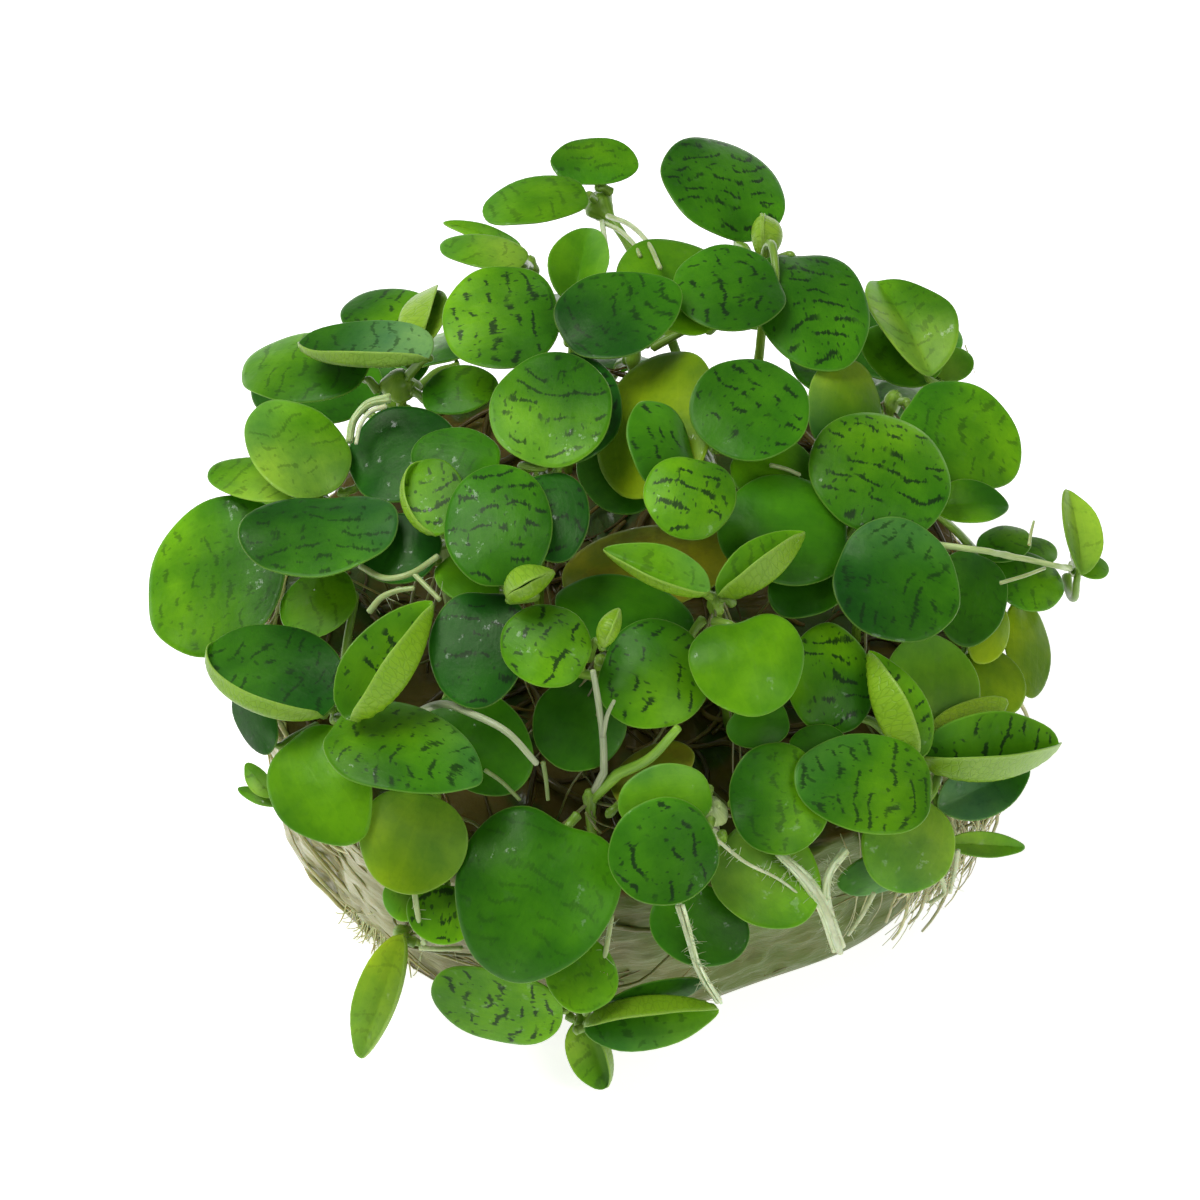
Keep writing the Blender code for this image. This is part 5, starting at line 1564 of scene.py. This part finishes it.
def leaf_top_paint(name, looks, worn):
    """The striped upper face: mottled green, broken dark dashes across the leaf, faint veins, and a pale rim of
    painted light.
    """
    paint = Paint(name)
    tone = paint.attribute("tone")
    place = paint.attribute("pattern")
    vein, reach, strength = paint.parts(paint.attribute("form"))
    p, q, r = paint.parts(place)
    broad = paint.step(paint.noise(place, 0.17, 2.0), 0.3, 0.72)
    shaded = paint.stretched(tone, (0.62, 0.72, 0.85))
    colour = paint.mix(broad, shaded, paint.stretched(tone, (1.3, 1.16, 1.0)))
    fine = paint.noise(place, 1.7, 3.0, 0.6)
    colour = paint.mix(paint.step(fine, 0.4, 0.75), colour, paint.stretched(colour, (0.86, 0.9, 0.95)))
    if worn:
        mottle = paint.step(paint.noise(place, 0.33, 4.0, 0.65), 0.5, 0.66)
        colour = paint.mix(paint.times(mottle, 0.7), colour, tuple(looks.decay_colour))
    # Rows of dashes: the distance from the middle of the nearest row, made ragged, and broken along the row.
    wander = paint.times(paint.minus(paint.noise(place, 0.2, 2.0), 0.5), 5.0)
    bowed = paint.times(paint.times(vein, vein), -0.9)
    spacing = looks.stripe_spacing / MM
    row = paint.math("DIVIDE", paint.plus(paint.plus(p, wander), bowed), spacing)
    within = paint.math("ABSOLUTE", paint.minus(paint.math("FRACT", row), 0.5))
    within = paint.times(within, spacing)
    brush = paint.noise(paint.stretched(place, (1.1, 3.6, 1.0)), 1.0, 3.0, 0.65)
    ragged = paint.times(paint.minus(brush, 0.5), 1.25)
    line = paint.minus(1.0, paint.step(paint.plus(within, ragged), 0.1, 0.27))
    broken = paint.noise(paint.whole(paint.times(paint.math("FLOOR", row), 7.3), q, r), 0.55, 1.0)
    line = paint.times(line, paint.step(broken, 0.47, 0.54))
    specks = paint.step(paint.noise(paint.stretched(place, (1.0, 1.6, 1.0)), 1.1, 1.0), 0.66, 0.72)
    marks = paint.math("MAXIMUM", line, paint.times(specks, 0.8))
    inside = paint.minus(1.0, paint.step(reach, 0.9, 0.99))
    marks = paint.times(paint.times(marks, strength), inside)
    marks = paint.times(marks, looks.stripe_strength)
    colour = paint.mix(marks, colour, tuple(looks.stripe_colour))
    ribs = paint.math("COSINE", paint.times(vein, 6 * math.pi))
    ribs = paint.times(paint.step(ribs, 0.88, 1.0), inside)
    colour = paint.mix(paint.times(ribs, 0.12), colour, paint.stretched(colour, (1.5, 1.3, 1.2)))
    # Painted light: a pale line along the rim, where the thin edge catches light.
    rim = paint.step(reach, 0.985, 1.0)
    colour = paint.mix(paint.times(rim, 0.22), colour, tuple(looks.painted_rim_light))
    relief = paint.plus(paint.times(ribs, 0.03), paint.times(fine, 0.35))
    relief = paint.plus(relief, paint.noise(place, 0.5, 2.0))
    paint.bump(relief, 0.12, 0.6)
    gloss = paint.plus(0.24, paint.times(paint.noise(place, 0.6, 3.0), 0.22))
    wet = paint.step(paint.noise(place, 0.8, 4.0, 0.7), 0.6, 0.66)
    paint.surface(base_color=colour, roughness=gloss, coat_weight=paint.times(wet, 0.55))
    paint.surface(coat_roughness=0.06, subsurface_weight=0.12, subsurface_scale=0.0012)
    paint.surface(specular_ior_level=0.16, specular_tint=(0.8, 1.0, 0.65))
    paint.surface(subsurface_radius=(0.6, 1.0, 0.2))
    return paint.material


def leaf_underside_paint(looks):
    """The spongy underside: pale yellow-green with fine air cells and a soft rim of painted light."""
    paint = Paint("leaf_underside")
    place = paint.attribute("pattern")
    tone = paint.attribute("tone")
    _vein, reach, _strength = paint.parts(paint.attribute("form"))
    colour = paint.mix(0.55, tone, tuple(looks.underside_colour))
    cell = paint.step(paint.cells(place, 1.9), 0.0, 0.12)
    colour = paint.mix(paint.minus(1.0, cell), colour, paint.stretched(colour, (0.82, 0.86, 0.7)))
    soft = paint.step(paint.noise(place, 0.3, 2.0), 0.35, 0.7)
    colour = paint.mix(soft, paint.stretched(colour, (0.85, 0.9, 0.8)), colour)
    # Painted light: a soft pale line along the rim, where the thin edge catches light.
    rim = paint.times(paint.step(reach, 0.93, 1.0), 0.5)
    colour = paint.mix(rim, colour, tuple(looks.painted_rim_light))
    paint.bump(paint.plus(cell, paint.noise(place, 0.8, 2.0)), 0.05, 0.5)
    paint.surface(base_color=colour, roughness=0.36, coat_weight=0.04, coat_roughness=0.15)
    paint.surface(specular_ior_level=0.25, subsurface_weight=0.12, subsurface_scale=0.0012)
    paint.surface(subsurface_radius=(0.6, 1.0, 0.2))
    return paint.material


def stalk_paint():
    """Stalks and stems: pale, a little clear, with fine lengthwise streaks."""
    paint = Paint("stalk")
    tone = paint.attribute("tone")
    pattern = paint.attribute("pattern")
    streaks = paint.noise(paint.stretched(pattern, (3.0, 3.0, 0.25)), 1.0, 3.0, 0.6)
    patches = paint.noise(paint.stretched(pattern, (0.6, 0.6, 0.4)), 1.0, 2.0)
    colour = paint.mix(paint.step(streaks, 0.35, 0.7), paint.stretched(tone, (0.7, 0.78, 0.6)), tone)
    colour = paint.mix(paint.step(patches, 0.4, 0.8), colour, paint.stretched(colour, (1.25, 1.15, 1.2)))
    paint.bump(streaks, 0.08, 0.6)
    paint.surface(base_color=colour, roughness=0.34, coat_weight=0.08, coat_roughness=0.12)
    paint.surface(specular_ior_level=0.3, subsurface_weight=0.2, subsurface_scale=0.001)
    paint.surface(subsurface_radius=(0.8, 1.0, 0.4))
    return paint.material


def strand_paint():
    """Single roots: pale and wet, darker in places, with fine cross wrinkles."""
    paint = Paint("root_strand")
    tone = paint.attribute("tone")
    pattern = paint.attribute("pattern")
    wrinkles = paint.noise(paint.stretched(pattern, (0.8, 0.8, 3.0)), 1.0, 3.0, 0.6)
    patches = paint.noise(paint.stretched(pattern, (0.3, 0.3, 0.35)), 1.0, 3.0)
    colour = paint.mix(paint.step(patches, 0.35, 0.7), paint.stretched(tone, (0.75, 0.78, 0.62)), tone)
    colour = paint.mix(paint.step(wrinkles, 0.5, 0.8), colour, paint.stretched(colour, (1.2, 1.2, 1.15)))
    paint.bump(wrinkles, 0.06, 0.7)
    paint.surface(base_color=colour, roughness=0.3, coat_weight=0.2, coat_roughness=0.08)
    paint.surface(specular_ior_level=0.35, subsurface_weight=0.15, subsurface_scale=0.0008)
    return paint.material


def root_cake_paint(looks):
    """The root mass: wet fused roots, beige with soft streaks, painted shade in the hollows, darker and warmer
    with painted shade and then green to the front right, and a dark top of debris and painted shade between the
    crowns.
    """
    paint = Paint("root_cake")
    place = paint.attribute("pattern")
    out, height, _share = paint.parts(paint.attribute("form"))
    x, y, _z = paint.parts(place)
    matted = paint.noise(paint.stretched(place, (0.25, 0.25, 0.9)), 1.0, 4.0, 0.55)
    threads = paint.noise(paint.stretched(place, (0.5, 0.5, 3.2)), 1.0, 3.0, 0.6)
    # Painted shade: the sunken hollows of the mass are darker.
    colour = paint.mix(paint.step(out, -0.6, 0.3), tuple(looks.shade_and_thread_colour), tuple(looks.cake_colour))
    colour = paint.mix(paint.step(matted, 0.42, 0.72), colour, tuple(looks.pale_colour))
    dull = paint.times(paint.step(threads, 0.5, 0.75), 0.35)
    colour = paint.mix(dull, colour, tuple(looks.shade_and_thread_colour))
    front_right = paint.minus(paint.times(x, FRONT_RIGHT[0]), paint.times(y, FRONT_RIGHT[1]))
    wander = paint.times(paint.minus(paint.noise(place, 0.2, 2.0), 0.5), 9.0)
    # Painted shade: the front right of the mass is darker and warmer.
    shaded_side = paint.step(front_right, *SHADED_SIDE_STRETCH)
    colour = paint.mix(paint.times(shaded_side, 0.9), colour, paint.stretched(colour, (0.46, 0.44, 0.36)))
    green = paint.step(paint.plus(front_right, wander), 28.0, 34.0)
    colour = paint.mix(paint.times(green, 0.85), colour, tuple(looks.moss_colour))
    # Painted shade on the top between the crowns: dark green patches stand for shaded leaves in the gaps, and
    # the rest is the colour of debris darkened as painted shade.
    top = paint.step(height, ROOT_HEIGHT - 1.5, ROOT_HEIGHT)
    gap_shade_patches = paint.step(paint.noise(place, 0.12, 2.0), 0.48, 0.6)
    recess = paint.mix(gap_shade_patches, tuple(looks.debris_and_shade_colour), tuple(looks.gap_shade_colour))
    colour = paint.mix(paint.times(top, 0.95), colour, recess)
    paint.bump(paint.plus(matted, paint.times(threads, 0.4)), 0.5, 0.7)
    wet = paint.minus(0.45, paint.times(paint.math("MAXIMUM", top, shaded_side), 0.35))
    paint.surface(base_color=colour, roughness=0.3, coat_weight=wet, coat_roughness=0.07)
    paint.surface(specular_ior_level=0.2, subsurface_weight=0.15, subsurface_scale=0.002)
    return paint.material


def floor_paint(colour):
    """A matt white surface with a barely uneven tone."""
    paint = Paint("white_surface")
    coordinates = paint.tree.nodes.new("ShaderNodeTexCoord").outputs["Object"]
    uneven = paint.noise(coordinates, 6.0, 2.0)
    tone = paint.mix(uneven, tuple(channel * 0.99 for channel in colour), tuple(colour))
    paint.surface(base_color=tone, roughness=0.9, emission_color=tone, emission_strength=0.8)
    return paint.material


# Settings that a user would change


def colour_setting(name, description, default):
    """A colour that a user may change."""
    return bpy.props.FloatVectorProperty(
        name=name, description=description, default=default, subtype="COLOR", size=3, min=0.0, max=1.0
    )


def count_setting(name, description, default):
    """A number of pieces that a user may change."""
    return bpy.props.IntProperty(name=name, description=description, default=default, min=0)


class FrogbitLeafLooks(bpy.types.PropertyGroup):
    """Colours and stripes of the leaves"""

    bright: colour_setting("Bright Green", "Colour of young, light leaves", (0.095, 0.28, 0.004))
    mid: colour_setting("Mid Green", "Colour of most leaves", (0.036, 0.165, 0.004))
    dark: colour_setting("Dark Green", "Colour of shaded and blue-green leaves", (0.013, 0.088, 0.006))
    yellow: colour_setting("Yellow Green", "Colour of leaves that begin to fade", (0.19, 0.32, 0.006))
    olive: colour_setting("Olive", "Colour of decayed leaves", (0.24, 0.25, 0.012))
    light: colour_setting("Light Green", "Colour of the palest young leaves", (0.19, 0.37, 0.03))
    # Painted sheen: the colour of a greyish reflection painted onto some leaves.
    painted_sheen: colour_setting("Waxy Sheen", "Colour of the greyish sheen on some leaves", (0.10, 0.24, 0.08))
    underside_colour: colour_setting("Underside", "Colour of the spongy underside", (0.30, 0.47, 0.02))
    # Painted light along the rim of each leaf.
    painted_rim_light: colour_setting("Rim", "Colour of the thin pale rim", (0.26, 0.42, 0.07))
    stripe_colour: colour_setting("Stripes", "Colour of the dark dashes", (0.006, 0.018, 0.006))
    decay_colour: colour_setting("Decay", "Colour of the patches on decayed leaves", (0.19, 0.17, 0.014))
    stripe_spacing: bpy.props.FloatProperty(
        name="Stripe Spacing", description="Distance between rows of dashes", default=1.9 * MM, unit="LENGTH"
    )
    stripe_strength: bpy.props.FloatProperty(
        name="Stripe Strength",
        description="How dark the dashes are",
        default=0.97,
        min=0.0,
        max=1.0,
        subtype="FACTOR",
    )


class FrogbitRootLooks(bpy.types.PropertyGroup):
    """Colours and numbers of the stalks and roots"""

    stalk_colour: colour_setting("Stalks", "Colour of leaf stalks and stems", (0.24, 0.36, 0.09))
    root_colour: colour_setting("Roots", "Colour of single roots", (0.50, 0.56, 0.36))
    cake_colour: colour_setting("Root Mass", "Colour of the ridges of the root mass", (0.33, 0.325, 0.13))
    pale_colour: colour_setting("Pale Roots", "Colour of the palest matted roots", (0.44, 0.44, 0.23))
    # Painted shade in the hollows of the root mass, and also the colour of its dull streaks.
    shade_and_thread_colour: colour_setting("Hollows", "Colour of the hollows of the root mass", (0.22, 0.21, 0.08))
    moss_colour: colour_setting("Green Tint", "Green tint in the root mass", (0.115, 0.175, 0.03))
    # Painted shade: dark green for the shaded gaps between the crowns.
    gap_shade_colour: colour_setting("Deep Green", "Dark green patches between the crowns", (0.03, 0.065, 0.008))
    # Debris between the crowns, darkened as painted shade.
    debris_and_shade_colour: colour_setting("Recess", "Colour between the crowns", (0.10, 0.068, 0.014))
    wall_count: count_setting("Wall Strands", "Matted roots on the wall", 380)
    top_count: count_setting("Top Strands", "Matted roots on the top", 160)
    fringe_count: count_setting("Fringe", "Roots of the fringe at the foot", 60)
    tuft_count: count_setting("Tuft", "Roots of the tuft at the right", 190)


class FrogbitStageLooks(bpy.types.PropertyGroup):
    """Surface and lights"""

    floor_colour: colour_setting("Surface", "Colour of the surface and surroundings", (0.9, 0.9, 0.9))
    surroundings: bpy.props.FloatProperty(
        name="Surroundings", description="Brightness of the surroundings", default=0.3, min=0.0
    )
    light_power: bpy.props.FloatProperty(
        name="Main Light", description="Power of the light above", default=3.1, min=0.0, unit="POWER"
    )
    fill_power: bpy.props.FloatProperty(
        name="Fill Light", description="Power of the light at the front", default=1.3, min=0.0, unit="POWER"
    )


CLUMP = {}


def clump():
    """The laid out clump, worked out once."""
    if not CLUMP:
        CLUMP["blades"], CLUMP["twigs"], CLUMP["crowns"], CLUMP["petioles"], CLUMP["stems"] = grow()
    return CLUMP


def leaf_looks(looks):
    """Colours at base and tip, stripe strength, upper material number and painted sheen colour of every leaf.
    """
    found = {}
    for base, tip, stripes, names in LEAF_LOOKS:
        for name in names.split():
            worn = int(base == "olive")
            tones = [np.array(getattr(looks, tone)) for tone in (base, tip)]
            found[name] = (*tones, stripes, worn, np.array(looks.painted_sheen))
    return found


def seed_of(name):
    """A number worked out from the letters of a name, the same in every run."""
    return sum(ord(letter) * 31**place for place, letter in enumerate(name)) % 100003


class FROGBIT_OT_leaves(bpy.types.Operator):
    """Build every leaf with its stalk"""

    bl_idname = "frogbit.leaves"
    bl_label = "Leaves"

    def execute(self, context):
        looks = context.scene.frogbit_leaves
        stalks = np.array(context.scene.frogbit_roots.stalk_colour)
        paints = [
            leaf_top_paint("leaf_top", looks, False),
            leaf_top_paint("leaf_top_old", looks, True),
            leaf_underside_paint(looks),
            stalk_paint(),
        ]
        found = leaf_looks(looks)
        for blade in clump()["blades"]:
            skin = Skin()
            seed = seed_of(blade.name)
            sectors = HIDDEN_LEAF_SECTORS if blade.small else LEAF_SECTORS
            leaf_surface(skin, blade, found[blade.name], sectors, seed)
            shade = (0.7 + 0.3 * (seed % 97) / 97) * LEAF_STALK_TINT
            petiole(skin, blade, clump()["petioles"][blade.name], stalks * shade, seed)
            node = f"{blade.rosette}_leaf_{blade.name}"
            node = node if blade.name in OWN_LEAVES else f"{blade.rosette}_rosette"
            skin.piece(f"leaf_{blade.name}", paints, node, "leaf")
        return {"FINISHED"}


class FROGBIT_OT_crowns(bpy.types.Operator):
    """Build the crown and stem of every rosette, the runner and the bare stalks"""

    bl_idname = "frogbit.crowns"
    bl_label = "Crowns and Stems"

    def execute(self, context):
        looks = context.scene.frogbit_roots
        tone = np.array(looks.stalk_colour)
        roots = np.array(looks.root_colour)
        stalk = bpy.data.materials["stalk"]
        strand = strand_paint()
        feet, _ways = root_feet()
        for rosette, crown in clump()["crowns"].items():
            seed = seed_of(rosette)
            chance = np.random.default_rng(seed)
            skin = Skin()
            tint = roots * PALE_CROWN_TINT if rosette in PALE_CROWNS else tone * CROWN_TINT
            crown_piece(skin, rosette, crown, clump()["stems"][rosette], tint, seed)
            for (owner, _radius, path), (radius, free) in zip(clump()["twigs"], TWIG_LOOKS):
                if owner == rosette:
                    line = path if free else np.vstack([crown, path])
                    radii = radius * np.linspace(1.15, 0.8, len(line))
                    tint = 1.25 * tone * TWIG_TINT if radius > GREEN_TWIG_FROM else roots * 0.75
                    stalk_tube(skin, line, radii, tint, STALK_SLOT, seed + 1)
            if not rosette.startswith(("back", "rear", "far", "outlier")):
                crown_roots(skin, crown, feet, roots * CROWN_ROOT_TINT, chance)
            skin.piece(f"crown_{rosette}", [strand, strand, strand, stalk], f"{rosette}_rosette", "stem")
        return {"FINISHED"}


class FROGBIT_OT_root_mass(bpy.types.Operator):
    """Build the cup-shaped mass of matted roots"""

    bl_idname = "frogbit.root_mass"
    bl_label = "Root Mass"

    def execute(self, context):
        looks = context.scene.frogbit_roots
        chance = np.random.default_rng(4)
        roots = np.array(looks.pale_colour)
        strand = bpy.data.materials["root_strand"]
        skin = Skin()
        root_cake(skin, looks.cake_colour)
        skin.piece("root_cake", [root_cake_paint(looks)], "root_mass", "root")
        skin = Skin()
        wall_strands(skin, looks.wall_count, np.array(looks.cake_colour), chance)
        skin.piece("root_wall_strands", [strand], "root_mass", "root")
        skin = Skin()
        # The top strands take the dark colour of the debris between the crowns, partly painted shade, and are
        # darkened further at random.
        top_strands(skin, looks.top_count, 1.5 * np.array(looks.debris_and_shade_colour), chance)
        skin.piece("root_top_strands", [strand], "root_mass", "root")
        skin = Skin()
        foot_fringe(skin, looks.fringe_count, roots, chance)
        side_tuft(skin, looks.tuft_count, roots * 1.1, chance)
        skin.piece("root_fringe", [strand], "root_mass", "root")
        return {"FINISHED"}


class FROGBIT_OT_loose_strands(bpy.types.Operator):
    """Build the loose roots and thin stems that hang or stand free"""

    bl_idname = "frogbit.loose_strands"
    bl_label = "Loose Roots and Stems"

    def execute(self, context):
        looks = context.scene.frogbit_roots
        chance = np.random.default_rng(9)
        roots = np.array(looks.root_colour)
        paints = [bpy.data.materials["root_strand"]]
        for number, (start, end, hairs, kind, bends) in enumerate(LOOSE_STRANDS):
            skin = Skin()
            path = curve_through([sight(b[:2], dome_depth(b[:2]) - b[2]) for b in bends], 8)
            path[:, 2] = np.maximum(path[:, 2], end)
            radii = np.linspace(start, end, len(path))
            tone = roots * LOOSE_TINTS[kind]
            if start > BUNDLE_FROM:
                bundle(skin, path, radii, 1.2 * tone, chance, number)
            else:
                stalk_tube(skin, path, radii, tone, STRAND_SLOT, number)
            hairs_of(skin, path, start, hairs, roots, chance)
            skin.piece(f"loose_{kind}_{number + 1:02d}", paints, None, "root" if kind == "root" else "stem")
        return {"FINISHED"}


class FROGBIT_OT_stage(bpy.types.Operator):
    """Build the white surface, the soft lights and the camera"""

    bl_idname = "frogbit.stage"
    bl_label = "Stage"

    def execute(self, context):
        looks = context.scene.frogbit_stage
        mesh = bpy.data.meshes.new("white_surface")
        half = SURFACE_HALF
        corners = [(-half, -half, 0), (half, -half, 0), (half, half, 0), (-half, half, 0)]
        mesh.from_pydata(corners, [], [(0, 1, 2, 3)])
        mesh.materials.append(floor_paint(looks.floor_colour))
        floor = bpy.data.objects.new("white_surface", mesh)
        context.collection.objects.link(floor)
        world = bpy.data.worlds.new("soft_surroundings")
        context.scene.world = world
        world.use_nodes = True
        background = world.node_tree.nodes["Background"]
        background.inputs["Color"].default_value = (*looks.floor_colour, 1.0)
        background.inputs["Strength"].default_value = looks.surroundings
        context.scene.view_settings.view_transform = "Standard"
        self.light(context, "main_light", MAIN_LIGHT_PLACE, MAIN_LIGHT_SIZE, looks.light_power)
        self.light(context, "fill_light", FILL_LIGHT_PLACE, FILL_LIGHT_SIZE, looks.fill_power)
        camera = bpy.data.objects.new("camera", bpy.data.cameras.new("camera"))
        context.collection.objects.link(camera)
        camera.location = Vector(EYE * MM)
        camera.rotation_euler = (Vector(AIM * MM) - camera.location).to_track_quat("-Z", "Y").to_euler()
        camera.data.sensor_width = SENSOR_WIDTH
        camera.data.lens = SENSOR_WIDTH * EYE_DISTANCE * PX_PER_MM / PICTURE_PX
        camera.data.clip_start = 0.01
        context.scene.camera = camera
        return {"FINISHED"}

    def light(self, context, name, place, size, power):
        """Adds a round lamp that points at the clump."""
        data = bpy.data.lights.new(name, "AREA")
        data.shape = "DISK"
        data.size = size
        data.energy = power
        light = bpy.data.objects.new(name, data)
        context.collection.objects.link(light)
        light.location = place
        light.rotation_euler = (Vector(LIGHT_AIM) - Vector(place)).to_track_quat("-Z", "Y").to_euler()


class FROGBIT_PT_panel(bpy.types.Panel):
    """Lists the operators and the settings"""

    bl_label = "Frogbit"
    bl_space_type = "VIEW_3D"
    bl_region_type = "UI"
    bl_category = "Frogbit"

    def draw(self, context):
        for operator in OPERATORS:
            self.layout.operator(operator.bl_idname)
        for group in (context.scene.frogbit_leaves, context.scene.frogbit_roots, context.scene.frogbit_stage):
            box = self.layout.box()
            for name in group.bl_rna.properties.keys():
                if name not in ("rna_type", "name"):
                    box.prop(group, name)


OPERATORS = (
    FROGBIT_OT_leaves,
    FROGBIT_OT_crowns,
    FROGBIT_OT_root_mass,
    FROGBIT_OT_loose_strands,
    FROGBIT_OT_stage,
)
GROUPS = {
    "frogbit_leaves": FrogbitLeafLooks,
    "frogbit_roots": FrogbitRootLooks,
    "frogbit_stage": FrogbitStageLooks,
}


def register():
    """Registers the settings, operators and panel."""
    for kind in (*GROUPS.values(), *OPERATORS, FROGBIT_PT_panel):
        bpy.utils.register_class(kind)
    for name, group in GROUPS.items():
        setattr(bpy.types.Scene, name, bpy.props.PointerProperty(type=group))


def unregister():
    """Removes what register() added."""
    for name in GROUPS:
        delattr(bpy.types.Scene, name)
    for kind in (FROGBIT_PT_panel, *reversed(OPERATORS), *GROUPS.values()):
        bpy.utils.unregister_class(kind)


def main():
    """Builds every piece and the stage."""
    register()
    bpy.ops.frogbit.leaves()
    bpy.ops.frogbit.crowns()
    bpy.ops.frogbit.root_mass()
    bpy.ops.frogbit.loose_strands()
    bpy.ops.frogbit.stage()


if __name__ == "__main__":
    main()
